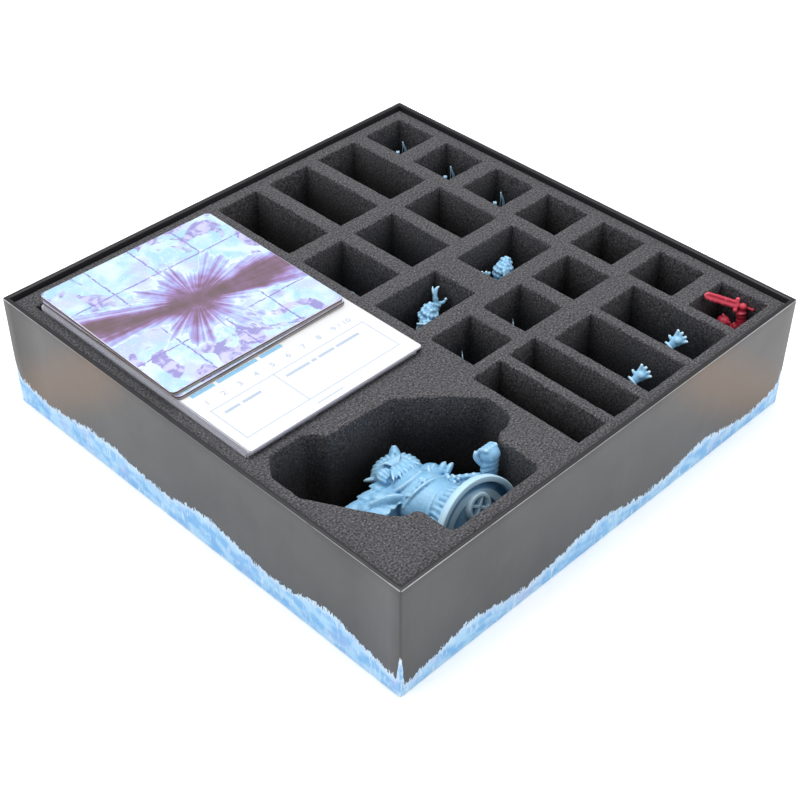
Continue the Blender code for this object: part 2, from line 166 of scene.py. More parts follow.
gummed_paper, at = new_finish("gummed_paper")
fibres = grain(at, (500.0, 500.0, 90.0), 3.0)
settle(gummed_paper, {
    "Base Color": fibres.mix((0.36, 0.25, 0.14), (0.50, 0.38, 0.24)),
    "Roughness": 0.72,
    "Normal": relief(fibres, 0.00005),
})
for number in (1, 2, 3, 4):
    dress(f"corner_stay_{number}", gummed_paper)


# ---- Lining --------------------------------------------------------------------------------
# Matt black paper pasted into the tray of the box, over its floor and up its walls, as far as the
# folded edge of the wrap. It shows as the dark line between the rim and the foam.
black_lining, at = new_finish("black_lining")
laid = grain(at, 900.0, 3.0)
settle(black_lining, {
    "Base Color": laid.mix((0.008, 0.008, 0.009), (0.018, 0.018, 0.019)),
    "Roughness": 0.78,
    "Normal": relief(laid, 0.00004),
})
dress("box_lining", black_lining)


# ---- Printed wrap --------------------------------------------------------------------------
# One sheet of laminated print, pasted under the box, up its sides, over the rim and 16 mm down
# inside. A loose flap of it lies under the sheet 6.5 mm from the corners and shows as a step.
def bridge(bm, rings):
    """Quads between each ring of corners and the next."""
    for lower, upper in zip(rings, rings[1:]):
        for i in range(len(lower)):
            j = (i + 1) % len(lower)
            bm.faces.new((lower[i], lower[j], upper[j], upper[i]))


def link(name, data):
    """A new object in the scene, at the origin."""
    obj = bpy.data.objects.new(name, data)
    bpy.context.collection.objects.link(obj)
    return obj


def mount(name, mesh, body, crease=None):
    """A mesh as a smooth-shaded piece that rides on a body, sharp where it turns by its crease."""
    obj = link(name, mesh)
    mesh.shade_smooth()
    if crease:
        mesh.set_sharp_from_angle(angle=math.radians(crease))
    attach(obj, body)
    return obj


def piece(name, bm, mats, body, crease=35.0):
    """A bmesh as a finished piece, its faces turned outwards."""
    bmesh.ops.recalc_face_normals(bm, faces=bm.faces)
    mesh = bpy.data.meshes.new(name)
    bm.to_mesh(mesh)
    bm.free()
    for mat in mats:
        mesh.materials.append(mat)
    return mount(name, mesh, body, crease)


def skin(name, rings, mats, body):
    """A closed tube of quads through rings of points, with its two ends filled."""
    bm = bmesh.new()
    rows = [[bm.verts.new(p) for p in ring] for ring in rings]
    bridge(bm, rows)
    bm.faces.new(rows[0])
    bm.faces.new(rows[-1])
    return piece(name, bm, mats, body)


low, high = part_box("box_wrap")
HALF_X, HALF_Y, BOX_TOP = high
WRAP_PAPER = 0.0003       # the thickness of the print and its paste
FOLD_RADIUS = 0.0007      # along the rim and the lower edge
CORNER_RADIUS = 0.0011    # down the four corners
FLAP_EDGE = 0.0065        # from a corner to the edge of the flap below the sheet
FLAP_STEP = 0.00009
FLAP_SLOPE = 0.0001
BOARD_BOW = 0.00035       # the walls are pressed in by this much at mid-length
WALL_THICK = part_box("box_lining")[0][0] + HALF_X + WRAP_PAPER
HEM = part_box("box_lining")[1][2] + WRAP_PAPER


def wall_path(inset, height):
    """Points round the box at one height, pressed in a little where the board bows."""
    radius = max(CORNER_RADIUS - inset, 0.0002)
    points = []
    level = math.sin(math.pi * min(max(height / BOX_TOP, 0.0), 1.0)) * 0.6 + 0.4 * height / BOX_TOP
    for quarter in range(4):
        across, along = (HALF_X, HALF_Y) if quarter % 2 == 0 else (HALF_Y, HALF_X)
        turn = Matrix.Rotation(math.pi / 2 * quarter, 2)
        run = along - inset - radius
        flap = along - FLAP_EDGE
        for y in (-run, -flap - FLAP_SLOPE, -flap + FLAP_SLOPE, *np.linspace(-0.8, 0.8, 13) * along,
                  flap - FLAP_SLOPE, flap + FLAP_SLOPE):
            pressed = BOARD_BOW * level * (1 - (y / along) ** 2)
            if quarter % 2 == 0 and inset < WALL_THICK / 2 and abs(y) < flap:
                pressed += FLAP_STEP
            points.append(turn @ Vector((across - inset - pressed, y)))
        for k in range(5):
            angle = math.pi / 2 * k / 5
            points.append(turn @ Vector((across - inset - radius + radius * math.cos(angle),
                                         run + radius * math.sin(angle))))
    return [(p.x, p.y, height) for p in points]


def fold(inset, height, start, steps=4):
    """A quarter-round fold centred at (inset, height), from an angle in degrees."""
    for k in range(steps + 1):
        angle = math.radians(start - 90 * k / steps)
        yield (inset + FOLD_RADIUS * math.cos(angle), height + FOLD_RADIUS * math.sin(angle))


profile = [
    *fold(FOLD_RADIUS, FOLD_RADIUS, 270),
    *[(0.0, BOX_TOP * share) for share in (0.08, 0.2, 0.35, 0.5, 0.65, 0.8, 0.92)],
    *fold(FOLD_RADIUS, BOX_TOP - FOLD_RADIUS, 180),
    *fold(WALL_THICK - FOLD_RADIUS, BOX_TOP - FOLD_RADIUS, 90),
    (WALL_THICK, HEM), (WALL_THICK - WRAP_PAPER, HEM),
    (WALL_THICK - WRAP_PAPER, BOX_TOP - WRAP_PAPER - FOLD_RADIUS),
    (WRAP_PAPER + FOLD_RADIUS, BOX_TOP - WRAP_PAPER - 0.0001),
    (WRAP_PAPER + BOARD_BOW + FLAP_STEP, WRAP_PAPER + FOLD_RADIUS),
    (WRAP_PAPER + FOLD_RADIUS, WRAP_PAPER),
]

BAND_HEIGHT = 10.8        # the band of ice, in millimetres from here on
WAVE_LENGTH = 79.0
FIRST_CREST = 43.0        # round from a near or far corner
HAZE_PLACE = 262.0
SMOKE = (0.026, 0.026, 0.029)
SMOKE_LIGHT = (0.070, 0.069, 0.069)
HAZE = (0.150, 0.098, 0.066)
# Painted shade, for the corner creases and the top of the rim fold.
PAINTED_CREASE_SHADE = (0.045, 0.045, 0.050)
ICE = (0.150, 0.420, 0.760)
ICE_PALE = (0.370, 0.630, 0.860)
FROST = (0.700, 0.800, 0.900)
ICE_VIOLET = (0.420, 0.470, 0.760)
# Black ink on the turn-in and under the box, and painted shade on the rim's top.
BLACK_INK_AND_GAP_SHADE = (0.012, 0.012, 0.014)
# Pale paper for the rim's outer fold: partly bare paper where worn, partly a painted highlight.
BARE_PAPER_AND_HIGHLIGHT = (0.55, 0.55, 0.57)

printed_wrap, at = new_finish("printed_wrap")
x = at.axis("X")
y = at.axis("Y")
z = at.axis("Z")
along = (x + y + (HALF_X + HALF_Y)) * 1000.0        # millimetres round from the near corner
side = (y - x).rise(-0.004, 0.004)
from_corner = along.maths("PINGPONG", along, HALF_X * 2000.0)
level = z * 1000.0
turns = (from_corner - FIRST_CREST) * (2 * math.pi / WAVE_LENGTH)
waves = turns.maths("COSINE", turns)
drift = grain(at, (26.0, 26.0, 0.0), 1.0) - 0.5
ragged = grain(at, (330.0, 330.0, 260.0), 3.0) - 0.5
bristles = grain(at, (1500.0, 1500.0, 330.0), 2.0) - 0.5
climb = 1.0 - from_corner.rise(0.2, 2.6)
far_climb = from_corner.rise(HALF_X * 2000.0 - 3.5, HALF_X * 2000.0)
edge = (BAND_HEIGHT + side * 4.4 + waves * 2.8 + drift * 9.0 + ragged * 6.5 + bristles * 6.5
        + climb * 17.0 + far_climb * 11.0)
icy = (edge - level).rise(-0.35, 0.35)
depth_in_ice = (edge - level) / 9.0
clouds = grain(at, (120.0, 120.0, 210.0), 5.0, turn=25.0)
streaks = grain(at, (640.0, 640.0, 150.0), 4.0)
ice = clouds.rise(0.36, 0.66).mix(ICE, ICE_PALE)
ice = (streaks.rise(0.54, 0.74) * 0.7).mix(ice, FROST)
ice = (grain(at, 60.0, 2.0).rise(0.54, 0.72) * 0.45).mix(ice, ICE_VIOLET)
ice = ((1.0 - depth_in_ice.rise(0.0, 0.55)) * 0.55).mix(ice, FROST)
ice = ((climb + far_climb) * streaks.rise(0.42, 0.6)).mix(ice, FROST)
# The grey grows paler towards the left and right corners of the box.
smoke = (grain(at, 34.0, 4.0).rise(0.3, 0.7) * 0.35 + from_corner.rise(90.0, 255.0) * 0.65).mix(
    SMOKE, SMOKE_LIGHT)
slant = from_corner - HAZE_PLACE + level * 1.25
haze = slant.rise(-34.0, 2.0) * (1.0 - slant.rise(8.0, 44.0)) * from_corner.rise(150.0, 200.0)
smoke = (haze * 0.85).mix(smoke, HAZE)
scuffs = grain(at, (3000.0, 3000.0, 60.0), 2.0)
smoke = (scuffs.rise(0.60, 0.75) * 0.18).mix(smoke, SMOKE_LIGHT)
# Painted shade: a dark strip down the near and far corners, where the crease lies in shadow.
smoke = ((1.0 - from_corner.rise(0.6, 1.6)) * 0.7).mix(smoke, PAINTED_CREASE_SHADE)
rim = level.rise(BOX_TOP * 1000.0 - 0.62, BOX_TOP * 1000.0 - 0.36)
outermost = (HALF_X - abs(x).maths("MAXIMUM", abs(x), abs(y))) * 1000.0
# A painted highlight along the rim's outer fold, in patches where the print is also worn to bare paper.
worn_fold_and_highlight = ((1.0 - outermost.rise(0.22, 0.36)) * rim
             * grain(at, (90.0, 90.0, 0.0), 3.0).rise(0.20, 0.50))
wrap_colour = icy.mix(smoke, ice)
# Painted shade: a darker band along the top of the rim fold.
wrap_colour = (rim * 0.35).mix(wrap_colour, PAINTED_CREASE_SHADE)
# Black ink on the turn-in and under the box; on the rim's top the same black is painted shade that
# stands in for the dark gap at the foam.
wrap_colour = outermost.rise(0.34, 0.50).mix(wrap_colour, BLACK_INK_AND_GAP_SHADE)
wrap_colour = (worn_fold_and_highlight * 0.80).mix(wrap_colour, BARE_PAPER_AND_HIGHLIGHT)
orange_peel = grain(at, 700.0, 2.0)
settle(printed_wrap, {
    "Base Color": wrap_colour,
    "Roughness": 0.36 + scuffs * 0.10 + haze * 0.05,
    "Specular IOR Level": 0.42,
    "Coat Weight": 0.12,
    "Coat Roughness": 0.22,
    "Normal": relief(orange_peel * 0.5 + grain(at, (260.0, 260.0, 18.0), 1.0),
                     0.00008, 0.5),
})
wrap = skin("printed_wrap_sheet", [wall_path(inset, height) for inset, height in profile],
            [printed_wrap], "box")
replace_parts(wrap, "box_wrap")


# ---- Foam insert ---------------------------------------------------------------------------
# Three pieces of open-celled polyurethane foam glued together: a plain base sheet, the thick
# block that the pockets are cut through, and a riser that lifts the score pad.
CELL_SIZE = 0.00095       # across the pores that show
CUT_SEGMENT = 0.0017      # the cut edges wander from one of these to the next
SOFT_EDGE = 0.0010        # the foam's cut edges are rounded by this much
TOP_SPACING = 0.0055      # between the points of the upper face
THIN_EDGE = 0.0006        # the two thin pieces are rounded less
WALL_HOLLOW = 0.00035     # the middle of a cut wall is set back by this much
SAG = 0.00008             # the skin of the upper face lies this far below its cut


def foam_finish(name, dark, light):
    """Open-celled foam: pale cell walls with painted glints, pores darkened with painted shade, and
    painted shade deeper down.
    """
    foam, at = new_finish(name)
    pores = grain(at, 1.0 / CELL_SIZE, 2.0, Roughness=0.62)
    fine = grain(at, 2.6 / CELL_SIZE, 1.0)
    cells = at.node("ShaderNodeTexVoronoi", {"Vector": at, "Scale": 1.3 / CELL_SIZE}, "Distance")
    patches = grain(at, 55.0, 2.0)
    tone = pores.rise(0.36, 0.64) * 0.70 + fine * 0.30 + patches * 0.16 - 0.08
    colour = tone.mix(dark, light)
    # Painted glints: specks of the cell walls lightened towards a near-white highlight.
    painted_glints = (fine * pores).rise(0.37, 0.46)
    colour = (painted_glints * 0.65).mix(colour, tuple(min(c * 3.6, 1.0) for c in light))
    # Painted shade in the pores.
    colour = ((1.0 - pores.rise(0.28, 0.42)) * 0.65).mix(colour, tuple(c * 0.35 for c in dark))
    # Painted shade: the foam darkens from the top of the pocket block down to 26 mm below it, as the
    # pockets would lie in shadow.
    below = (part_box("foam_grid")[1][2] - at.axis("Z")).rise(0.0004, 0.026)
    colour = (below * 0.80).mix(colour, tuple(c * 0.25 for c in dark))
    settle(foam, {
        "Base Color": colour,
        "Roughness": 0.93,
        "Specular IOR Level": 0.25,
        "Sheen Weight": 0.06,
        "Sheen Roughness": 0.5,
        "Normal": relief(pores * 0.8 + cells * 0.5 + fine * 0.25, 0.0007, 0.9),
    })
    return foam


cut_foam = foam_finish("cut_foam", (0.022, 0.021, 0.025), (0.131, 0.128, 0.137))
base_foam = foam_finish("base_foam", (0.030, 0.029, 0.032), (0.090, 0.088, 0.095))


def plate_loops(node, level):
    """The outlines of a flat CAD plate's face at one height: the outer one, then its holes."""
    bm = bmesh.new()
    bm.from_mesh(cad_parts[node].data)
    bmesh.ops.remove_doubles(bm, verts=bm.verts, dist=1e-5)
    bm.normal_update()
    following = {}
    for edge in bm.edges:
        if all(abs(v.co.z - level) < 1e-5 for v in edge.verts):
            upright = [f for f in edge.link_faces if abs(f.normal.z) < 0.5]
            if len(upright) == 1:
                for vert in edge.verts:
                    following.setdefault(vert, []).append(edge.other_vert(vert))
    loops = []
    while following:
        here, (ahead, _) = next(iter(following.items()))
        loop = [here]
        del following[here]
        while ahead in following:
            loop.append(ahead)
            options = following.pop(ahead)
            ahead = next((v for v in options if v in following), loop[0])
        loops.append([Vector((v.co.x, v.co.y)) for v in loop])
    bm.free()
    loops.sort(key=lambda loop: -abs(area_of(loop)))
    return [loop if (area_of(loop) > 0) == (k == 0) else loop[::-1] for k, loop in enumerate(loops)]


def area_of(loop):
    """Its signed area: above 0 where it runs anticlockwise."""
    return sum(a.x * b.y - b.x * a.y for a, b in zip(loop, loop[1:] + loop[:1])) / 2


def chopped(loop, spacing):
    """The outline with points every so often along its straight edges."""
    points = []
    for a, b in zip(loop, loop[1:] + loop[:1]):
        count = max(1, round((b - a).length / spacing))
        points += [a.lerp(b, k / count) for k in range(count)]
    return points


def inward(points):
    """Unit normals into the foam at each point of an outline, mitred at its corners."""
    found = []
    for i, here in enumerate(points):
        before = (here - points[i - 1]).normalized()
        after = (points[(i + 1) % len(points)] - here).normalized()
        left = Vector((-before.y - after.y, before.x + after.x))
        left.normalize()
        found.append(left / max(left.dot(Vector((-before.y, before.x))), 0.5))
    return found


def sway(x, y, z, size, amount):
    """A smooth wander of a cut face."""
    return amount * noise.noise(Vector((x / size, y / size, z / size)))


def crown(x, y):
    """How far the upper face rises or dips from its cut."""
    return sway(x, y, 0, 0.017, 0.00014) - SAG


def inside_loop(p, loop):
    hit = False
    for a, b in zip(loop, loop[1:] + loop[:1]):
        if (a.y > p.y) != (b.y > p.y) and p.x < (b.x - a.x) * (p.y - a.y) / (b.y - a.y) + a.x:
            hit = not hit
    return hit


def foam_block(name, node, mat, soft_top=SOFT_EDGE):
    """A foam plate cut to its CAD outlines, with rounded edges and slightly wandering cuts."""
    low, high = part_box(node)
    loops = [chopped(loop, CUT_SEGMENT) for loop in plate_loops(node, high[2])]
    thick = high[2] - low[2]
    levels = []
    for k in range(4):
        angle = math.pi / 2 * k / 3
        levels.append((soft_top * (1 - math.sin(angle)), soft_top * (1 - math.cos(angle))))
    wall = [share for share in (0.08, 0.2, 0.38, 0.6, 0.82) if share * thick > soft_top * 1.3]
    levels += [(0.0, thick * share) for share in wall]
    levels += [(0.0, thick - 0.0003), (0.0003, thick)]
    bm = bmesh.new()
    floor_edges, top_rings = [], []
    for number, loop in enumerate(loops):
        normals = inward(loop)
        rows = []
        snug = 0.3 if number == 0 else 1.0        # the outer edge is pressed against the box
        for inset, depth in levels:
            row = []
            hollow = WALL_HOLLOW * math.sin(math.pi * depth / thick)
            for p, n in zip(loop, normals):
                wander = abs(sway(p.x, p.y, depth * 0.4, 0.009, 0.0005))
                wander += abs(sway(p.x, p.y, depth, 0.0019, 0.00030))
                q = p + n * (inset + wander + hollow) * snug
                fade = max(0.0, 1 - depth / (3 * soft_top))
                lift = crown(q.x, q.y) * fade
                row.append(bm.verts.new((q.x, q.y, high[2] - depth + lift)))
            rows.append(row)
        bridge(bm, rows)
        top_rings.append(rows[0])
        floor_edges += [bm.edges.get((a, b)) for a, b in zip(rows[-1], rows[-1][1:] + rows[-1][:1])]
    bmesh.ops.triangle_fill(bm, edges=floor_edges, use_beauty=True, use_dissolve=False)
    fill_top(bm, top_rings, high[2])
    obj = piece(name, bm, [mat], "foam_tray", crease=50.0)
    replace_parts(obj, node)


def fill_top(bm, rings, level):
    """The foam's upper face: triangles between its outlines, over a loose grid of points."""
    flat = [[Vector((v.co.x, v.co.y)) for v in ring] for ring in rings]
    points, edges = [], []
    for loop in flat:
        first = len(points)
        points += loop
        edges += [(first + i, first + (i + 1) % len(loop)) for i in range(len(loop))]
    owners = [v for ring in rings for v in ring]
    xs = [p.x for p in flat[0]]
    ys = [p.y for p in flat[0]]
    margin = TOP_SPACING * 0.45
    rough = [chopped(loop, 1.0) for loop in flat]
    for u in np.arange(min(xs) + margin, max(xs) - margin, TOP_SPACING):
        for v in np.arange(min(ys) + margin, max(ys) - margin, TOP_SPACING):
            p = Vector((u + sway(u, v, 1, 0.004, 0.0016), v + sway(u, v, 5, 0.004, 0.0016)))
            if any(inside_loop(p, hole) for hole in rough[1:] if near_loop(p, hole)):
                continue
            if min((p - q).length_squared for loop in flat for q in loop[::2]) < margin ** 2:
                continue
            points.append(p)
            owners.append(bm.verts.new((p.x, p.y, level + crown(p.x, p.y))))
    filled = geometry.delaunay_2d_cdt(points, edges, [], 0, 1e-7)
    places, faces, origins = filled[0], filled[2], filled[3]
    for face in faces:
        middle = sum((places[k] for k in face), Vector((0, 0))) / len(face)
        if not inside_loop(middle, flat[0]):
            continue
        if any(inside_loop(middle, hole) for hole in flat[1:] if near_loop(middle, hole)):
            continue
        corners = [owners[origins[k][0]] for k in face]
        if len(set(corners)) == 3:
            bm.faces.new(corners)


def near_loop(p, loop):
    """Whether a point is in the box round an outline, which is quick to tell."""
    xs = [q.x for q in loop]
    ys = [q.y for q in loop]
    return min(xs) <= p.x <= max(xs) and min(ys) <= p.y <= max(ys)


foam_block("foam_base_sheet", "foam_base", base_foam, THIN_EDGE)
foam_block("foam_pocket_block", "foam_grid", cut_foam)
foam_block("foam_pad_riser", "foam_riser", cut_foam, THIN_EDGE)


# ---- Score pad -----------------------------------------------------------------------------
# An A6 pad: a grey chipboard back and a block of white sheets, glued at the far edge and fanned
# a little at the others. The top sheet is printed with plain rules, bars and a row of numbers.
chipboard, at = new_finish("chipboard")
pulp = grain(at, 520.0, 4.0)
settle(chipboard, {
    "Base Color": pulp.mix((0.26, 0.235, 0.20), (0.46, 0.43, 0.38)),
    "Roughness": 0.86,
    "Normal": relief(pulp, 0.0001),
})
dress("pad_backing", chipboard)

pad_paper, at = new_finish("pad_paper")
tooth = grain(at, 1300.0, 3.0)
leaves = grain(at, (12.0, 12.0, 3800.0), 2.0)
face_up = at.node("ShaderNodeNewGeometry", {}, "Normal").axis("Z").rise(0.6, 0.9)
# Painted light and shade: the sides, told from the top face by which way they point, get lavender and
# near-white stripes instead of the top's paper tone.
page_edge_painted_light_and_shade = leaves.rise(0.36, 0.62).mix((0.66, 0.67, 0.84), (0.88, 0.88, 0.97))
settle(pad_paper, {
    "Base Color": face_up.mix(page_edge_painted_light_and_shade, tooth.mix((0.665, 0.675, 0.690), (0.700, 0.710, 0.720))),
    "Roughness": 0.70,
    "Normal": relief(tooth * 0.4 + leaves * (1.0 - face_up), 0.00012, 0.6),
})

low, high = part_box("pad_sheets")
PAD_MIDDLE = ((low[0] + high[0]) / 2, (low[1] + high[1]) / 2)
PAD_TOP = high[2]
SHEET_COUNT = 36
SHEET_FAN = 0.00030
SHEET_PUSH = 0.0032       # the upper sheets have been pushed this far over the near edge
SHEET_GAP_SHARE = 0.06
sheet_pitch = (high[2] - low[2]) / SHEET_COUNT


def node_group(name, inputs):
    """A geometry tree with named inputs after its geometry, and its input and output nodes."""
    tree = bpy.data.node_groups.new(name, "GeometryNodeTree")
    tree.interface.new_socket("Geometry", in_out="INPUT", socket_type="NodeSocketGeometry")
    for label, kind in inputs.items():
        tree.interface.new_socket(label, in_out="INPUT", socket_type=f"NodeSocket{kind}")
    tree.interface.new_socket("Geometry", in_out="OUTPUT", socket_type="NodeSocketGeometry")
    return tree, tree.nodes.new("NodeGroupInput"), tree.nodes.new("NodeGroupOutput")


def wire(tree, kind, sockets, **settings):
    """Adds a geometry node: its settings, then the values or links of its sockets."""
    made = tree.nodes.new(kind)
    for name, setting in settings.items():
        setattr(made, name, setting)
    for name, value in sockets.items():
        if isinstance(value, bpy.types.NodeSocket):
            tree.links.new(value, made.inputs[name])
        else:
            made.inputs[name].default_value = value
    return made


def plain_mesh(source, name):
    """The mesh that an object's modifiers or outline end in. The object is then removed."""
    mesh = bpy.data.meshes.new_from_object(source.evaluated_get(
        bpy.context.evaluated_depsgraph_get()))
    mesh.name = name
    source.modifiers.clear()
    bpy.data.objects.remove(source, do_unlink=True)
    return mesh


def grow(name, bm, tree, values, body):
    """Runs a geometry tree over a bmesh and keeps the plain mesh that it makes."""
    mesh = bpy.data.meshes.new(f"{name}_seed")
    bm.to_mesh(mesh)
    bm.free()
    seed = link(f"{name}_seed", mesh)
    modifier = seed.modifiers.new("grow", "NODES")
    modifier.node_group = tree
    for item in tree.interface.items_tree:
        if item.in_out == "INPUT" and item.name in values:
            modifier[item.identifier] = values[item.name]
    return mount(name, plain_mesh(seed, name), body, crease=35.0)


fanned, given, result = node_group("fanned_sheets", {
    "Sheets": "Int", "Pitch": "Float", "Fan": "Float", "Push": "Float", "Seed": "Int",
    "Paper": "Material"})
stack = wire(fanned, "GeometryNodeMeshLine", {"Count": given.outputs["Sheets"]})
rise_each = wire(fanned, "ShaderNodeCombineXYZ", {"Z": given.outputs["Pitch"]})
fanned.links.new(rise_each.outputs[0], stack.inputs["Offset"])
slip = wire(fanned, "FunctionNodeRandomValue", {"Seed": given.outputs["Seed"], 0: (-1.0, -1.0, 0.0),
                                                1: (1.0, 0.1, 0.0)}, data_type="FLOAT_VECTOR")
slide = wire(fanned, "ShaderNodeVectorMath", {0: slip.outputs[0]}, operation="SCALE")
fanned.links.new(given.outputs["Fan"], slide.inputs["Scale"])
spread = wire(fanned, "GeometryNodeSetPosition", {"Geometry": stack.outputs[0],
                                                  "Offset": slide.outputs[0]})
order = wire(fanned, "GeometryNodeInputIndex", {})
height = wire(fanned, "ShaderNodeMapRange", {"Value": order.outputs[0], "From Min": SHEET_COUNT * 0.5,
                                             "From Max": SHEET_COUNT - 1.0, "To Max": -1.0},
              interpolation_type="SMOOTHSTEP")
push = wire(fanned, "ShaderNodeMath", {0: height.outputs[0], 1: given.outputs["Push"]},
            operation="MULTIPLY")
pushed = wire(fanned, "ShaderNodeCombineXYZ", {"Y": push.outputs[0]})
leaning = wire(fanned, "GeometryNodeSetPosition", {"Geometry": spread.outputs[0],
                                                   "Offset": pushed.outputs[0]})
copies = wire(fanned, "GeometryNodeInstanceOnPoints", {"Points": leaning.outputs[0],
                                                       "Instance": given.outputs["Geometry"]})
real = wire(fanned, "GeometryNodeRealizeInstances", {0: copies.outputs[0]})
painted = wire(fanned, "GeometryNodeSetMaterial", {"Geometry": real.outputs[0],
                                                   "Material": given.outputs["Paper"]})
fanned.links.new(painted.outputs[0], result.inputs[0])

bm = bmesh.new()
bmesh.ops.create_cube(bm, size=1.0)
bmesh.ops.scale(bm, verts=bm.verts, vec=(high[0] - low[0] - 2 * SHEET_FAN,
                                         high[1] - low[1] - 2 * SHEET_FAN,
                                         sheet_pitch * (1 - SHEET_GAP_SHARE)))
bmesh.ops.bevel(bm, geom=[e for e in bm.edges if abs(e.verts[0].co.z - e.verts[1].co.z) > 1e-5],
                offset=0.0006, segments=2, affect="EDGES")
bmesh.ops.translate(bm, verts=bm.verts, vec=(*PAD_MIDDLE, low[2] + sheet_pitch / 2))
sheets = grow("pad_sheet_block", bm, fanned, {
    "Sheets": SHEET_COUNT, "Pitch": sheet_pitch, "Fan": SHEET_FAN, "Push": SHEET_PUSH, "Seed": 7,
    "Paper": pad_paper,
}, "pad")
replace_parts(sheets, "pad_sheets")


def ink(name, strong, worn):
    """Matt ink, a little uneven."""
    finish, at = new_finish(name)
    settle(finish, {"Base Color": grain(at, 900.0, 2.0).mix(strong, worn), "Roughness": 0.6})
    return finish


pale_ink = ink("pale_ink", (0.35, 0.43, 0.55), (0.45, 0.53, 0.65))
blue_ink = ink("blue_ink", (0.16, 0.40, 0.62), (0.26, 0.50, 0.70))
INK = 0.00003             # how thick a printed bar is
INK_TOP = PAD_TOP - sheet_pitch * SHEET_GAP_SHARE / 2 + INK
sheet_corner = (low[0], low[1] - SHEET_PUSH)


def ink_bar(bm, x0, x1, y0, y1):
    """A printed bar on the top sheet, in millimetres from the pad's near left corner."""
    left, near = sheet_corner
    size = Vector(((x1 - x0) / 1000, (y1 - y0) / 1000, INK))
    middle = Vector((left + (x0 + x1) / 2000, near + (y0 + y1) / 2000, INK_TOP - INK / 2 + 0.00001))
    bmesh.ops.create_cube(bm, size=1.0, matrix=Matrix.Translation(middle) @ Matrix.Diagonal(
        (*size, 1.0)))


bm = bmesh.new()
for x0, x1 in ((5.1, 18.2), (20.0, 43.0), (45.0, 58.0)):        # the heading
    ink_bar(bm, x0, x1, 44.4, 46.6)
piece("pad_heading", bm, [blue_ink], "pad")

bm = bmesh.new()
FRAME_X = (5.3, 41.2, 96.3)
FRAME_Y = (8.0, 32.2)
RULE = 0.36
for x in FRAME_X:
    ink_bar(bm, x - RULE / 2, x + RULE / 2, *FRAME_Y)
for y in FRAME_Y:
    ink_bar(bm, FRAME_X[0] - RULE / 2, FRAME_X[2] + RULE / 2, y - RULE / 2, y + RULE / 2)
for x0, x1 in ((9.1, 17.5), (19.2, 29.6), (44.6, 58.4), (60.0, 62.6), (64.2, 73.4), (75.0, 89.0)):
    ink_bar(bm, x0, x1, 26.4, 27.9)
ink_bar(bm, 42.0, 57.0, 3.4, 3.9)
piece("pad_rules", bm, [pale_ink], "pad")

NUMBERS_LONG = 0.0870
numbers = bpy.data.curves.new("pad_numbers", "FONT")
numbers.body = "1     2     3     4     5     6     7     8     9 / 10"
numbers.size = 0.0042
numbers.extrude = INK / 2
lettered = link("pad_numbers_outline", numbers)
bpy.context.view_layer.update()
bm = bmesh.new()
bm.from_mesh(plain_mesh(lettered, "pad_numbers_outline"))
width = max(v.co.x for v in bm.verts)
bmesh.ops.scale(bm, verts=bm.verts, vec=(NUMBERS_LONG / width, 1, 1))
bmesh.ops.translate(bm, verts=bm.verts, vec=(sheet_corner[0] + 0.0066, sheet_corner[1] + 0.0364,
                                             INK_TOP))
piece("pad_numbers", bm, [pale_ink], "pad")


# ---- Map tiles -----------------------------------------------------------------------------
# Two square tiles of 2 mm die-cut board lie on the pad, each printed on top with pale flagstones
# one inch across, split by a dark rift. The cutter has rolled their upper edges over.
STONE = 25.4              # one flagstone, in millimetres
TILE_SIZE = 0.1016
TILE_CORNER = 0.0026
PRESSED_EDGE = 0.00045    # the upper edge is rolled over by this much

tile_core, at = new_finish("tile_core")
plies = grain(at, (60.0, 60.0, 3200.0), 3.0)
board_edge = plies.rise(0.3, 0.7).mix((0.20, 0.165, 0.16), (0.46, 0.40, 0.38))
for node in ("tile_lower", "tile_upper"):
    printed_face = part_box(node)[1][2]
    # Painted shade: a near-black band on the board's edge below each printed face, standing in for the
    # dark gap between the tiles.
    painted_gap_shade = at.axis("Z").rise(printed_face - 0.0011, printed_face - 0.0008) * (
        1.0 - at.axis("Z").rise(printed_face, printed_face + 0.0002))
    board_edge = (painted_gap_shade * 0.9).mix(board_edge, (0.045, 0.030, 0.035))
settle(tile_core, {
    "Base Color": board_edge,
    "Roughness": 0.85,
    "Normal": relief(plies, 0.00015),
})


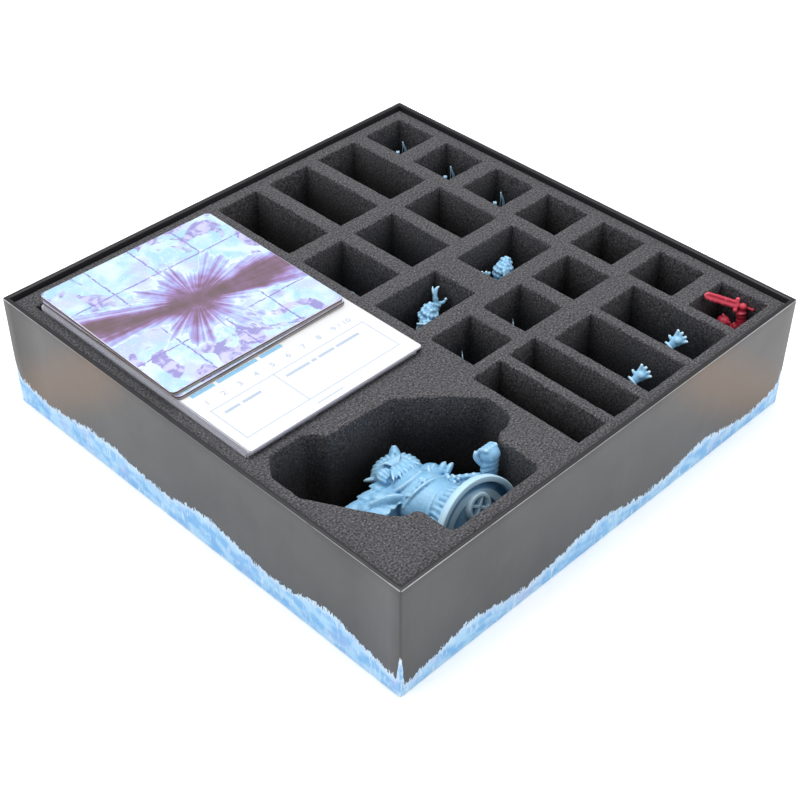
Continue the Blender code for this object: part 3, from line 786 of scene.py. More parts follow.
def flagstone_finish(name, middle, turn, seed):
    """Pale flagstones with violet joints, and a dark rift with torn, rayed edges across them."""
    finish, at = new_finish(name)
    centred = at.node("ShaderNodeVectorMath", {0: at, 1: (middle[0], middle[1], seed)},
                      operation="SUBTRACT")
    placed = centred.node("ShaderNodeMapping", {
        "Vector": centred, "Rotation": (0, 0, math.radians(-turn)), "Scale": (1000, 1000, 1000)})
    u = placed.axis("X")
    v = placed.axis("Y")
    wobble = grain(placed, 0.22, 3.0) - 0.5
    coarse = grain(placed, 0.050, 3.0) - 0.5
    joint_u = (u + wobble * 1.6).maths("PINGPONG", u + wobble * 1.6, STONE / 2)
    joint_v = (v + wobble * 1.4).maths("PINGPONG", v + wobble * 1.4, STONE / 2)
    to_joint = joint_u.maths("MINIMUM", joint_u, joint_v)
    clouds = grain(placed, 0.075, 4.0, Distortion=0.6)
    wash = grain(placed, 0.16, 5.0, Distortion=1.2)
    stone = clouds.rise(0.34, 0.66).mix((0.34, 0.58, 0.68), (0.60, 0.74, 0.80))
    stone = (grain(placed, 0.045, 2.0).rise(0.50, 0.66) * 0.75).mix(stone, (0.46, 0.49, 0.75))
    stone = (wash.rise(0.50, 0.72) * 0.55).mix(stone, (0.40, 0.56, 0.77))
    stone = (grain(placed, 0.9, 3.0).rise(0.56, 0.70) * 0.35).mix(stone, (0.82, 0.86, 0.92))
    shade = grain(placed, 0.060, 5.0, Distortion=1.0).rise(0.52, 0.57)
    rock = wash.rise(0.42, 0.60).mix((0.25, 0.21, 0.50), (0.52, 0.50, 0.78))
    border = abs(u).maths("MAXIMUM", abs(u), abs(v)).rise(20.0, 38.0)
    stone = (shade * border * 0.9).mix(stone, rock)
    dotted = grain(placed, 0.55, 1.0).rise(0.30, 0.50)
    joint = (1.0 - (to_joint - dotted * 0.12).rise(0.10, 0.55)) * (0.45 + dotted * 0.55)
    stone = joint.mix(stone, (0.24, 0.20, 0.52))

    off = v + 4.0 + u * 0.10 - (u * u * 0.0042) * (1.0 - u.rise(-4.0, 4.0))
    ray = placed.node("ShaderNodeVectorMath", {0: placed, 1: (0.0, -4.0, 0.0)},
                      operation="SUBTRACT")
    flat_ray = ray.node("ShaderNodeVectorMath", {0: ray, 1: (1.0, 1.0, 0.0)},
                        operation="MULTIPLY")
    reach = flat_ray.node("ShaderNodeVectorMath", {0: flat_ray}, "Value", operation="LENGTH")
    heading = flat_ray.node("ShaderNodeVectorMath", {0: flat_ray}, operation="NORMALIZE")
    rays = grain(heading, 3.4, 5.0, Roughness=0.62)
    fine_rays = grain(heading, 15.0, 3.0)
    arm = abs(off) / (11.5 + abs(u) * 0.075)
    burst = reach / 29.0
    spread = reach.rise(2.0, 24.0)
    torn = (arm.maths("SMOOTH_MIN", arm, burst, 0.45) + (rays - 0.5) * spread * 1.7
            + (fine_rays - 0.5) * spread * 0.40 + coarse * 1.50 + wobble * 0.45)
    inside = 1.0 - torn.rise(0.97, 1.03)
    tone = torn * 0.86 + (fine_rays - 0.5) * spread * 0.45
    rift = tone.node("ShaderNodeValToRGB", {0: tone}, stops=(
        (0.05, (0.135, 0.090, 0.105)), (0.32, (0.190, 0.115, 0.185)), (0.50, (0.285, 0.180, 0.400)),
        (0.68, (0.330, 0.330, 0.640)), (0.84, (0.420, 0.560, 0.800))))
    streak = (fine_rays.rise(0.52, 0.68) * torn.rise(0.25, 0.8) * 0.5)
    rift = streak.mix(rift, (0.60, 0.55, 0.86))
    lip = (1.0 - abs(torn - 1.04).rise(0.0, 0.06)) * 0.4
    colour = lip.mix(stone, (0.93, 0.96, 1.0))
    colour = inside.mix(colour, rift)
    worn = abs(u).maths("MAXIMUM", abs(u), abs(v)).rise(TILE_SIZE * 500 - 0.7, TILE_SIZE * 500 - 0.1)
    colour = (worn * 0.65).mix(colour, (0.80, 0.82, 0.93))
    linen = grain(at, (2400.0, 500.0, 1.0), 1.0) + grain(at, (500.0, 2400.0, 1.0), 1.0)
    settle(finish, {
        "Base Color": colour,
        "Roughness": 0.34 + linen * 0.06,
        "Normal": relief(linen * 0.5 + joint * -0.6, 0.00009, 0.6),
    })
    return finish


def die_cut_tile(name, node, turn, finish):
    """A tile of board with rounded corners and a pressed upper edge."""
    low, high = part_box(node)
    middle = Vector(((low[0] + high[0]) / 2, (low[1] + high[1]) / 2))
    half = TILE_SIZE / 2
    spin = Matrix.Rotation(math.radians(turn), 2)

    def outline(inset, height):
        radius = max(TILE_CORNER - inset, 0.0003)
        ring = []
        for quarter in range(4):
            corner = Matrix.Rotation(math.pi / 2 * quarter, 2)
            for y in np.linspace(-half + TILE_CORNER, half - TILE_CORNER, 7):
                ring.append(corner @ Vector((half - inset, y)))
            for k in range(1, 7):
                angle = math.pi / 2 * k / 7
                ring.append(corner @ Vector((half - inset - radius + radius * math.cos(angle),
                                             half - inset - radius + radius * math.sin(angle))))
        return [(*(spin @ p + middle), height) for p in ring]

    rings = [outline(0.0002, low[2]), outline(0.00005, low[2] + 0.0002),
             outline(0.0, low[2] + 0.0008), outline(0.0, high[2] - PRESSED_EDGE * 1.3)]
    for k in range(1, 5):
        angle = math.pi / 2 * k / 4
        rings.append(outline(PRESSED_EDGE * 1.4 * (1 - math.cos(angle)),
                             high[2] - PRESSED_EDGE * (1 - math.sin(angle))))
    obj = skin(name, rings, [finish, tile_core], node)
    for face in obj.data.polygons:
        if face.normal.z < 0.25:
            face.material_index = 1
    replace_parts(obj, node)


for node, turn, seed in (("tile_lower", 0.3, 3.0), ("tile_upper", -0.8, 0.0)):
    low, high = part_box(node)
    middle = ((low[0] + high[0]) / 2, (low[1] + high[1]) / 2)
    art = flagstone_finish(f"{node}_print", middle, turn, seed)
    die_cut_tile(f"{node}_board", node, turn, art)


# ---- Small figures -------------------------------------------------------------------------
# Moulded in one colour of plastic, each glued to a round base. Limbs, cloth folds and gear are
# modelled as lumps, strands and straps, melted into one skin as a sculptor's clay would be.
def plastic(name, painted_fold_shade, body_colour, painted_highlight_pale, carving=0.0):
    """Moulded plastic: soft gloss, a painted highlight on its thin and high ridges, painted shade in its
    folds.
    """
    finish, at = new_finish(name)
    flow = grain(at, 160.0, 3.0)
    fine = grain(at, 2600.0, 2.0)
    edge = at.node("ShaderNodeNewGeometry", {}, "Pointiness")
    # Painted shade in the folds and a painted highlight on the ridges, chosen by pointiness.
    colour = edge.rise(0.44, 0.50).mix(painted_fold_shade, body_colour)
    colour = edge.rise(0.505, 0.58).mix(colour, painted_highlight_pale)
    colour = (flow.rise(0.4, 0.7) * 0.18).mix(colour, painted_highlight_pale)
    settle(finish, {
        "Base Color": colour,
        "Roughness": 0.40 + fine * 0.10,
        "Subsurface Weight": 0.12,
        "Subsurface Radius": (0.002, 0.003, 0.004),
        "Subsurface Scale": 0.5,
        "Normal": relief(fine * 0.5 + flow * 0.5 + grain(at, 420.0, 4.0) * carving, 0.00004, 0.5),
    })
    return finish


# Painted fold shade, body colour and painted highlight of the ice-blue plastic.
ICE_BLUE_SHADE_BODY_HIGHLIGHT = ((0.050, 0.180, 0.340), (0.220, 0.470, 0.700), (0.56, 0.78, 0.92))
ice_plastic = plastic("ice_plastic", *ICE_BLUE_SHADE_BODY_HIGHLIGHT)
# The red plastic's painted fold shade, body colour and painted highlight.
red_plastic = plastic("red_plastic", (0.180, 0.004, 0.020), (0.480, 0.018, 0.050), (0.72, 0.10, 0.14))


def strand(bm, points, radii, sides=8, flat=1.0, broad=None):
    """A tapered tube with round ends along a smooth path; flat squeezes all but its broad way."""
    path = [Vector(p) for p in points]
    fine_path, fine_radii = [], []
    count = 1 if len(path) == 2 else 4
    for i in range(len(path) - 1):
        p0, p1, p2, p3 = (path[max(i - 1, 0)], path[i], path[i + 1], path[min(i + 2, len(path) - 1)])
        for k in range(count):
            t = k / count
            fine_path.append(0.5 * (2 * p1 + (p2 - p0) * t + (2 * p0 - 5 * p1 + 4 * p2 - p3) * t ** 2
                                    + (3 * p1 - p0 - 3 * p2 + p3) * t ** 3))
            fine_radii.append(radii[i] * (1 - t) + radii[i + 1] * t)
    fine_path.append(path[-1])
    fine_radii.append(radii[-1])
    tangents = [(fine_path[min(i + 1, len(fine_path) - 1)] - fine_path[max(i - 1, 0)]).normalized()
                for i in range(len(fine_path))]
    across = Vector(broad) if broad else tangents[0].orthogonal()
    across = (across - tangents[0] * across.dot(tangents[0])).normalized()
    rings = []
    stations = list(zip(fine_path, fine_radii, tangents))
    first, last = stations[0], stations[-1]
    stations.insert(0, (first[0] - first[2] * first[1] * 0.6, first[1] * 0.75, first[2]))
    stations.append((last[0] + last[2] * last[1] * 0.6, last[1] * 0.75, last[2]))
    for place, radius, tangent in stations:
        across = (across - tangent * across.dot(tangent)).normalized()
        other = tangent.cross(across)
        rings.append([bm.verts.new(place + radius * (math.cos(a) * across
                                                     + math.sin(a) * flat * other))
                      for a in (2 * math.pi * k / sides for k in range(sides))])
    bridge(bm, rings)
    bm.faces.new(rings[0][::-1])
    bm.faces.new(rings[-1])


def spin(turn, size=4):
    """A turn about X, then Y, then Z, in degrees."""
    about_x, about_y, about_z = (Matrix.Rotation(math.radians(degrees), size, axis)
                                 for degrees, axis in zip(turn, "XYZ"))
    return about_z @ about_y @ about_x


def lump(bm, centre, radii, turn=(0, 0, 0)):
    """A rounded lump: its half sizes along its own axes, and its turn in degrees."""
    bmesh.ops.create_icosphere(bm, subdivisions=3, radius=1.0, matrix=Matrix.Translation(centre)
                               @ spin(turn) @ Matrix.Diagonal((*radii, 1.0)))


def strap(bm, centre, radii, thick, turn=(0, 0, 0), count=20):
    """A closed band round a limb or waist."""
    turned = spin(turn, 3)
    rings = []
    for k in range(count):
        angle = 2 * math.pi * k / count
        out = Vector((math.cos(angle), math.sin(angle), 0))
        spot = Vector((radii[0] * out.x, radii[1] * out.y, 0))
        ring = []
        for a in (math.pi / 4, 3 * math.pi / 4, 5 * math.pi / 4, 7 * math.pi / 4):
            local = spot + out * thick[0] * math.cos(a) + Vector((0, 0, thick[1] * math.sin(a)))
            ring.append(bm.verts.new(Vector(centre) + turned @ local))
        rings.append(ring)
    bridge(bm, rings + rings[:1])


def block(bm, centre, size, turn=(0, 0, 0)):
    """A squared piece of gear, such as a pouch or a buckle."""
    bmesh.ops.create_cube(bm, size=1.0, matrix=Matrix.Translation(centre) @ spin(turn)
                          @ Matrix.Diagonal((*size, 1.0)))


def curls(bm, centre, radii, rows, count, size, turn=(0, 0, 0)):
    """Rows of rounded curls of wool laid round a hood or a collar."""
    turned = spin(turn, 3)
    for row in range(rows):
        tilt = math.radians(-50.0 + 120.0 * row / max(rows - 1, 1))
        number = max(int(count * math.cos(tilt)), 4)
        for k in range(number):
            angle = 2 * math.pi * (k + 0.5 * (row % 2)) / number
            out = Vector((math.cos(angle) * math.cos(tilt), math.sin(angle) * math.cos(tilt),
                          math.sin(tilt)))
            spot = turned @ Vector((out.x * radii[0], out.y * radii[1], out.z * radii[2]))
            bmesh.ops.create_icosphere(bm, subdivisions=2, radius=size,
                                       matrix=Matrix.Translation(Vector(centre) + spot))


def open_hand(bm, wrist, palm, spread, size, thumb_side=1.0, thumb_ahead=1.1):
    """A hand with four spread fingers and a thumb, reaching from the wrist through the palm."""
    wrist, palm = Vector(wrist), Vector(palm)
    ahead = (palm - wrist).normalized()
    across = Vector(spread).normalized()
    across = (across - ahead * across.dot(ahead)).normalized()
    face = ahead.cross(across)
    strand(bm, [wrist, palm + ahead * size * 0.25], [size * 0.52, size * 0.68], flat=0.62)
    for k, (shift, reach) in enumerate(((-0.62, 0.85), (-0.22, 1.10), (0.20, 1.12), (0.60, 0.92))):
        root = palm + across * size * shift * 0.75
        knuckle = root + (ahead + across * shift * 0.35) * size * reach * 0.55 - face * size * 0.06
        tip = root + (ahead + across * shift * 0.62) * size * (reach + 0.28) + face * size * 0.26
        strand(bm, [root, knuckle, tip], [size * 0.25, size * 0.24, size * 0.20], sides=8)
    lump(bm, palm + ahead * size * 0.3, (size * 0.62, size * 0.62, size * 0.55))
    root = palm + across * thumb_side * size * 0.35 - ahead * size * 0.15
    strand(bm, [root, root + (across * thumb_side + ahead * 0.4 * thumb_ahead) * size * 0.55,
                root + (across * thumb_side * 0.95 + ahead * thumb_ahead) * size * 0.8],
           [size * 0.25, size * 0.21, size * 0.17], sides=8)


def melt(name, bm, voxel, place, mat, body, replaced):
    """Melts the lumps into one skin, in millimetres, and puts it in its place in the box."""
    bmesh.ops.recalc_face_normals(bm, faces=bm.faces)
    mesh = bpy.data.meshes.new(f"{name}_clay")
    bm.to_mesh(mesh)
    bm.free()
    clay = link(f"{name}_clay", mesh)
    skinned = clay.modifiers.new("skin", "REMESH")
    skinned.mode = "VOXEL"
    skinned.voxel_size = voxel
    eased = clay.modifiers.new("ease", "SMOOTH")
    eased.factor = 0.5
    eased.iterations = 1
    made = plain_mesh(clay, name)
    made.transform(place @ Matrix.Scale(0.001, 4))
    made.materials.clear()
    made.materials.append(mat)
    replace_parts(mount(name, made, body), replaced)


def walker(bm, head, girth=1.0, hooded=True):
    """Boots, legs, skirted tunic, belt, chest and head of a small standing figure."""
    head = Vector(head)
    hip = Vector((head.x * 0.2, head.y * 0.2, head.z * 0.46))
    chest = Vector((head.x * 0.7, head.y * 0.7, head.z * 0.76))
    for way in (-1, 1):
        foot = Vector((4.4 * way, -1.2 * way, 0.9))
        knee = (hip + foot) / 2 + Vector((0.8 * way, -1.5, 0.5))
        strand(bm, [hip + Vector((1.6 * way, 0, 0)), knee, foot + Vector((0, 0.4, 1.2))],
               [2.9 * girth, 2.2 * girth, 1.7 * girth])
        lump(bm, foot + Vector((0.3 * way, -1.1, 0.3)), (1.7, 2.9, 1.25), (0, 0, 14 * way))
        strap(bm, foot + Vector((0, 0.3, 3.4)), (2.0 * girth, 2.0 * girth), (0.35, 0.5))
        strap(bm, knee + Vector((0, 0, 0.8)), (2.3 * girth, 2.3 * girth), (0.35, 0.8))
    waist = hip + (chest - hip) * 0.22
    for k in range(13):
        angle = 2 * math.pi * k / 13
        out = Vector((math.cos(angle), math.sin(angle) * 0.85, 0))
        drop = 7.2 + 1.2 * math.sin(3 * angle)
        strand(bm, [waist + out * 3.0 * girth, hip + out * 4.6 * girth - Vector((0, 0, drop * 0.5)),
                    hip + out * 5.6 * girth - Vector((0, 0, drop))],
               [1.4 * girth, 1.25 * girth, 0.75 * girth], sides=6)
    strand(bm, [hip, waist, chest, chest + (head - chest) * 0.3],
           [4.2 * girth, 3.7 * girth, 4.9 * girth, 3.4 * girth], sides=12, flat=0.82)
    strap(bm, waist, (4.1 * girth, 3.6 * girth), (0.55, 0.85))
    block(bm, waist + Vector((0, -3.9 * girth, 0)), (1.9, 1.0, 2.1))
    lump(bm, waist + Vector((3.6 * girth, -1.4, -1.3)), (1.2, 0.9, 1.4))
    lump(bm, waist + Vector((-3.5 * girth, -1.6, -1.2)), (1.1, 0.9, 1.3))
    for way in (-1, 1):
        lump(bm, chest + Vector((4.3 * way * girth, 0.2, 1.6)), (2.5 * girth, 2.3 * girth, 2.0 * girth),
             (0, 18 * way, 0))
        strap(bm, chest + Vector((4.9 * way * girth, 0.2, 0.8)), (2.2 * girth, 2.1 * girth),
              (0.3, 0.45), (0, 40 * way, 0))
    strand(bm, [chest + Vector((-3.4 * girth, -2.6, 3)), chest + Vector((0, -4.2 * girth, -1)),
                waist + Vector((3.4 * girth, -2.2, 0.6))], [0.7, 0.7, 0.7], sides=6)
    strand(bm, [chest + (head - chest) * 0.2, head], [2.1 * girth, 2.0 * girth])
    lump(bm, head + Vector((0, 0, 0.6)), (2.5 * girth, 2.7 * girth, 3.0 * girth))
    lump(bm, head + Vector((0, -2.6 * girth, 0.2)), (0.5, 0.75, 0.8))
    if hooded:
        lump(bm, head + Vector((0, 0.7, 1.6)), (3.0 * girth, 3.0 * girth, 2.9 * girth))
        strap(bm, head + Vector((0, -0.4, 1.3)), (2.75 * girth, 2.9 * girth), (0.35, 0.7), (62, 0, 0))
        strand(bm, [head + Vector((0, 1.8, 3.6)), head + Vector((0, 3.8, 4.4)),
                    head + Vector((0, 5.2, 3.0))], [1.6, 1.0, 0.3])
        for k in range(9):
            share = k / 8 - 0.5
            strand(bm, [chest + Vector((5.4 * share * girth, 2.4, 3.0)),
                        chest + Vector((8.0 * share * girth, 5.2 - 3 * abs(share), -6.0)),
                        hip + Vector((9.4 * share * girth, 6.0 - 3 * abs(share), -8.0))],
                   [1.2, 1.15, 0.7], sides=6)


def sleeve(bm, points, radii, cuff):
    """An arm in a gathered sleeve, with a cuff near its end."""
    strand(bm, points, radii, sides=9)
    path = [Vector(p) for p in points]
    for a, b, r0, r1 in zip(path, path[1:], radii, radii[1:]):
        lean = [math.degrees(angle) for angle in (b - a).to_track_quat("Z", "Y").to_euler()]
        for share in (0.3, 0.62):
            radius = 0.98 * (r0 * (1 - share) + r1 * share)
            strap(bm, a.lerp(b, share), (radius, radius), (0.24, 0.42), lean, 12)
    strap(bm, path[-1].lerp(path[-2], 0.12), (cuff, cuff), (0.55, 0.75), lean, 14)


def archer(bm):
    """A hooded figure with a drawn bow and a quiver on its back."""
    walker(bm, (-1.0, 0.5, 31))
    sleeve(bm, [(-3.5, 0.5, 25.5), (-7.0, -2.0, 22), (-4.5, -4.2, 24.5)], [2.3, 1.9, 1.5], 1.8)
    sleeve(bm, [(3.0, 0.8, 25.5), (5.6, 2.4, 26.5), (7.4, 2.2, 26.8)], [2.2, 1.8, 1.6], 1.9)
    arc = []
    for k in range(9):
        angle = math.radians(-78 + 156 * k / 8)
        arc.append((1.8 + 6.2 * math.cos(angle), 2.0, 26 + 15.6 * math.sin(angle)))
    arc[0] = (arc[0][0] + 1.4, 2.0, arc[0][2] - 0.4)
    arc[-1] = (arc[-1][0] + 1.4, 2.0, arc[-1][2] + 0.4)
    strand(bm, arc, [0.42, 0.62, 0.72, 0.78, 0.95, 0.78, 0.72, 0.62, 0.42])
    strand(bm, [arc[0], arc[-1]], [0.30, 0.30], sides=5)
    strand(bm, [(-5.0, -4.0, 24.6), (8.0, 2.1, 26.9)], [0.32, 0.32], sides=5)
    strand(bm, [(-2.0, 4.2, 16), (3.0, 5.0, 30)], [1.7, 1.9])
    for k in range(4):
        strand(bm, [(3.0 + 0.7 * math.cos(k * 1.6), 5.0 + 0.7 * math.sin(k * 1.6), 30),
                    (4.0 + 0.8 * math.cos(k * 1.6), 5.3 + 0.8 * math.sin(k * 1.6), 34)],
               [0.45, 0.5], sides=5)


def prowler(bm):
    """A tall hooded figure with a staff, its tall head-dress leaning back."""
    walker(bm, (-5.5, 1.0, 33), 1.15)
    sleeve(bm, [(-5.5, 1.0, 27.5), (-8.6, -3.0, 24.5), (-6.2, -6.0, 22.5)], [2.9, 2.3, 1.8], 2.1)
    open_hand(bm, (-6.2, -6.0, 22.5), (-4.6, -7.4, 21.6), (0, 0.3, 1), 2.6)
    sleeve(bm, [(-1.0, 1.5, 27), (3.2, 5.8, 22.5), (5.6, 3.8, 25)], [2.8, 2.2, 1.7], 2.0)
    strand(bm, [(6.4, 8.6, 9), (5.6, 3.6, 24), (5.0, -0.4, 30)], [0.9, 0.95, 0.7])
    lump(bm, (4.8, -1.2, 31.4), (1.7, 1.7, 2.2))
    lump(bm, (-7.6, 6.0, 37.6), (2.1, 1.9, 1.7))
    strand(bm, [(-5.8, 2.0, 32), (-7.4, 5.0, 35.5), (-7.6, 6.0, 37.2)], [2.2, 1.7, 1.4])


def clawed(bm):
    """A stooping figure in a padded collar, one clawed arm raised."""
    walker(bm, (1.0, 0.0, 31), 1.15, hooded=False)
    lump(bm, (-3.0, -3.0, 32.0), (5.2, 4.8, 4.4), (0, -20, 35))
    curls(bm, (-3.0, -3.0, 32.0), (5.0, 4.6, 4.2), 4, 15, 1.15)
    lump(bm, (2.6, 1.8, 34.6), (4.4, 4.2, 4.2), (0, 20, 30))
    curls(bm, (2.6, 1.8, 34.6), (4.4, 4.2, 4.2), 4, 14, 1.2, (10, 20, 0))
    lump(bm, (5.0, 3.4, 37.2), (2.9, 2.6, 2.6), (0, 30, 30))
    curls(bm, (5.0, 3.4, 37.2), (2.7, 2.5, 2.5), 3, 9, 0.9, (0, 30, 0))
    sleeve(bm, [(5.0, 3.0, 30), (10.0, 4.8, 32.0), (12.4, 5.6, 34.6)], [3.4, 2.5, 1.7], 2.1)
    strand(bm, [(12.4, 5.6, 34.6), (12.2, 6.6, 38.6), (14.2, 7.6, 41.8), (15.8, 7.2, 42.8)],
           [1.6, 1.25, 0.95, 0.4])
    strand(bm, [(12.6, 5.8, 37.4), (12.0, 7.6, 41.2), (13.0, 9.0, 43.2)], [1.1, 0.8, 0.35])
    strand(bm, [(12.8, 5.2, 35.0), (15.4, 3.8, 35.2), (16.6, 3.2, 36.8)], [1.2, 0.95, 0.6])
    lump(bm, (16.5, 3.2, 36.9), (0.8, 0.8, 0.8))
    sleeve(bm, [(-3.0, -2.0, 31), (-8.0, -4.5, 32), (-9.4, -6.4, 36.0)], [3.4, 2.8, 2.2], 2.5)
    lump(bm, (-9.5, -6.8, 38.2), (2.2, 2.0, 2.4))
    for k in range(3):
        strand(bm, [(-9.6 - 0.9 * k, -7.0 + 0.8 * k, 39.4), (-10.4 - 0.8 * k, -7.4 + 1.2 * k, 41.6)],
               [0.75, 0.5], sides=6)


def shaggy(bm):
    """A broad figure with a mane of curled fur, one fist raised beside it."""
    walker(bm, (1.5, -1.0, 31), 1.3, hooded=False)
    lump(bm, (4.6, -0.6, 36.5), (4.6, 4.2, 4.4), (0, 10, 0))
    curls(bm, (4.6, -0.6, 36.3), (4.7, 4.4, 4.4), 5, 15, 1.25, (0, 20, 0))
    lump(bm, (9.2, 2.2, 37.8), (3.0, 2.8, 3.0), (0, 25, 0))
    curls(bm, (9.2, 2.2, 37.8), (3.0, 2.8, 3.0), 4, 10, 1.0, (0, 35, 0))
    for k in range(6):
        strand(bm, [(1.2 + 0.6 * k, -3.8 + 0.2 * k, 40.0), (0.2 + 0.65 * k, -5.6, 37.2),
                    (0.0 + 0.7 * k, -5.8, 33.6)], [1.0, 1.0, 0.6], sides=6)
    sleeve(bm, [(-3.5, 0.2, 29), (-9.0, 0.2, 30.5), (-10.4, -0.8, 38.0)], [3.6, 3.0, 2.2], 2.5)
    open_hand(bm, (-10.4, -0.8, 37.4), (-10.7, -1.2, 40.0), (0.7, -0.7, 0.1), 3.1, -1.0, 0.6)
    sleeve(bm, [(5.0, 0.0, 29), (9.6, -2.4, 22), (9.0, -4.4, 16)], [3.6, 2.9, 2.2], 2.5)
    open_hand(bm, (9.0, -4.4, 16), (8.6, -5.4, 13), (1, 0, 0), 2.6)


def grasper(bm):
    """A figure reaching straight up with one open hand."""
    walker(bm, (0.5, -1.0, 28))
    sleeve(bm, [(-3.0, -0.6, 24), (-6.6, 0.6, 30), (-5.8, 0.7, 37.6)], [2.7, 2.5, 2.2], 2.7)
    strap(bm, (-5.4, 0.5, 40.2), (2.8, 2.8), (0.7, 0.8), (0, 62, -21), 16)
    open_hand(bm, (-5.4, 0.6, 40.2), (-2.4, -0.5, 42.2), (0.04, 0.75, 0.667), 3.7, 1.0, 0.12)
    sleeve(bm, [(3.4, -1.0, 24), (7.4, -3.4, 19.5), (6.4, -5.6, 15)], [2.5, 2.1, 1.6], 1.9)
    open_hand(bm, (6.4, -5.6, 15), (6.0, -6.4, 12.6), (1, 0, 0), 2.3)


def spearman(bm):
    """A hooded figure with an upright spear and a round shield."""
    walker(bm, (0.0, 1.0, 26))
    sleeve(bm, [(-3.2, 0.8, 21.0), (-5.6, -2.4, 19.5), (-3.4, -4.2, 22.0)], [2.3, 1.9, 1.5], 1.8)
    lump(bm, (-3.0, -3.4, 22.2), (1.5, 1.5, 1.6))
    strand(bm, [(-4.0, -5.0, 2.4), (-4.2, 1.0, 36.5)], [0.62, 0.55])
    strand(bm, [(-4.3, 0.9, 35.5), (-4.3, 1.4, 38.4), (-4.1, 2.1, 42.4)], [0.5, 0.85, 0.18],
           flat=0.5)
    sleeve(bm, [(3.2, 1.0, 21.0), (6.8, 1.6, 17.5), (6.4, -1.6, 15)], [2.3, 1.9, 1.5], 1.8)
    lump(bm, (8.2, -1.2, 15.0), (1.1, 4.6, 5.2))
    strap(bm, (8.6, -1.2, 15.0), (5.0, 4.4), (0.4, 0.4), (0, 90, 0))


def knight(bm):
    """An armoured figure holding a broad sword level above its head."""
    walker(bm, (3.2, 3.0, 33), 1.05, hooded=False)
    lump(bm, (3.2, 3.0, 34.4), (3.1, 3.2, 3.4))
    strap(bm, (3.2, 3.0, 33.4), (3.1, 3.2), (0.4, 0.55))
    strand(bm, [(3.2, 3.0, 36.6), (2.6, 3.6, 39.4)], [1.5, 0.3])
    strand(bm, [(3.2, -0.6, 33.2), (3.2, -0.7, 36.4)], [0.6, 0.4], sides=5)
    for way in (-1, 1):
        lump(bm, (3.2 + 4.8 * way, 2.2, 28.8), (2.9, 2.8, 2.3), (0, 22 * way, 0))
    sleeve(bm, [(6.8, 1.0, 28), (9.4, -3.0, 33.0), (9.9, -1.8, 40.0)], [2.8, 2.3, 1.9], 2.3)
    lump(bm, (9.4, -3.2, 33.2), (2.4, 2.4, 2.4))
    strap(bm, (9.8, -2.2, 37.4), (2.3, 2.2), (0.4, 0.4), (0, 6, 0))
    grip = Vector((10.2, -2.2, 42.4))
    ahead = (Vector((-1.6, 10.9, 48.2)) - grip).normalized()
    across = Vector((0.59, 0.29, 0.74))
    across = (across - ahead * across.dot(ahead)).normalized()
    lump(bm, grip, (2.0, 2.0, 1.9))
    strand(bm, [grip - ahead * 4.6, grip + ahead * 2.6], [0.75, 0.75])
    lump(bm, grip - ahead * 5.0, (1.1, 1.1, 1.1))
    guard = grip + ahead * 3.1
    strand(bm, [guard - across * 2.5 + ahead * 0.3, guard, guard + across * 2.5 + ahead * 0.3],
           [1.0, 0.95, 1.0])
    for way in (-1, 1):
        lump(bm, guard + across * 2.7 * way + ahead * 0.3, (1.15, 1.15, 1.15))
    tip = guard + ahead * 17.2
    flat_side = ahead.cross(across).normalized()
    blade = []
    for share, half in ((0.0, 2.35), (0.5, 2.35), (0.90, 2.3), (1.0, 0.7)):
        centre = guard.lerp(tip, share)
        thick = 0.85 if share < 1 else 0.4
        blade.append([bm.verts.new(centre + across * half * a + flat_side * thick * b)
                      for a, b in ((1, 0), (0.45, 1), (0.2, 0.42), (-0.2, 0.42), (-0.45, 1), (-1, 0),
                                   (-0.45, -1), (-0.2, -0.42), (0.2, -0.42), (0.45, -1))])
    bridge(bm, blade)
    bm.faces.new(blade[0])
    bm.faces.new(blade[-1])
    sleeve(bm, [(0.4, 2.0, 27), (-4.2, 0.4, 21.5), (-5.6, -2.6, 20)], [2.5, 2.1, 1.7], 2.0)
    lump(bm, (-6.6, -1.6, 19.0), (1.3, 5.0, 6.0), (0, -8, 10))
    strap(bm, (-7.2, -1.8, 19.0), (5.4, 4.6), (0.5, 0.5), (0, 82, 10))


def round_base(name, mat, ground):
    """A round base: bevelled side, a rough ground on top and a shallow hollow below."""
    low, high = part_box(f"{name}_base")
    middle = Vector(((low[0] + high[0]) / 2, (low[1] + high[1]) / 2, 0))
    radius = (high[0] - low[0]) / 2
    side = [(radius - 0.0022, low[2] + 0.0011), (radius - 0.0020, low[2]), (radius - 0.00025, low[2]),
            (radius, low[2] + 0.0003), (radius - 0.0001, high[2] - 0.0009),
            (radius - 0.0004, high[2] - 0.0003), (radius - 0.0010, high[2] - 0.00012)]
    top = [(radius * share, high[2] - 0.0004) for share in (0.86, 0.7, 0.52, 0.34, 0.16)]
    rings = []
    for number, (r, z) in enumerate(side + top):
        ring = []
        for k in range(48):
            angle = 2 * math.pi * k / 48
            p = Vector((r * math.cos(angle), r * math.sin(angle), z)) + middle
            if number >= len(side):
                p.z += noise.noise(p * 420.0 + Vector((ground, 0, 0))) * 0.0006 + 0.0001
                p.z = min(p.z, high[2])
            ring.append(tuple(p))
        rings.append(ring)
    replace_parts(skin(f"{name}_round_base", rings, [mat], name), f"{name}_base")


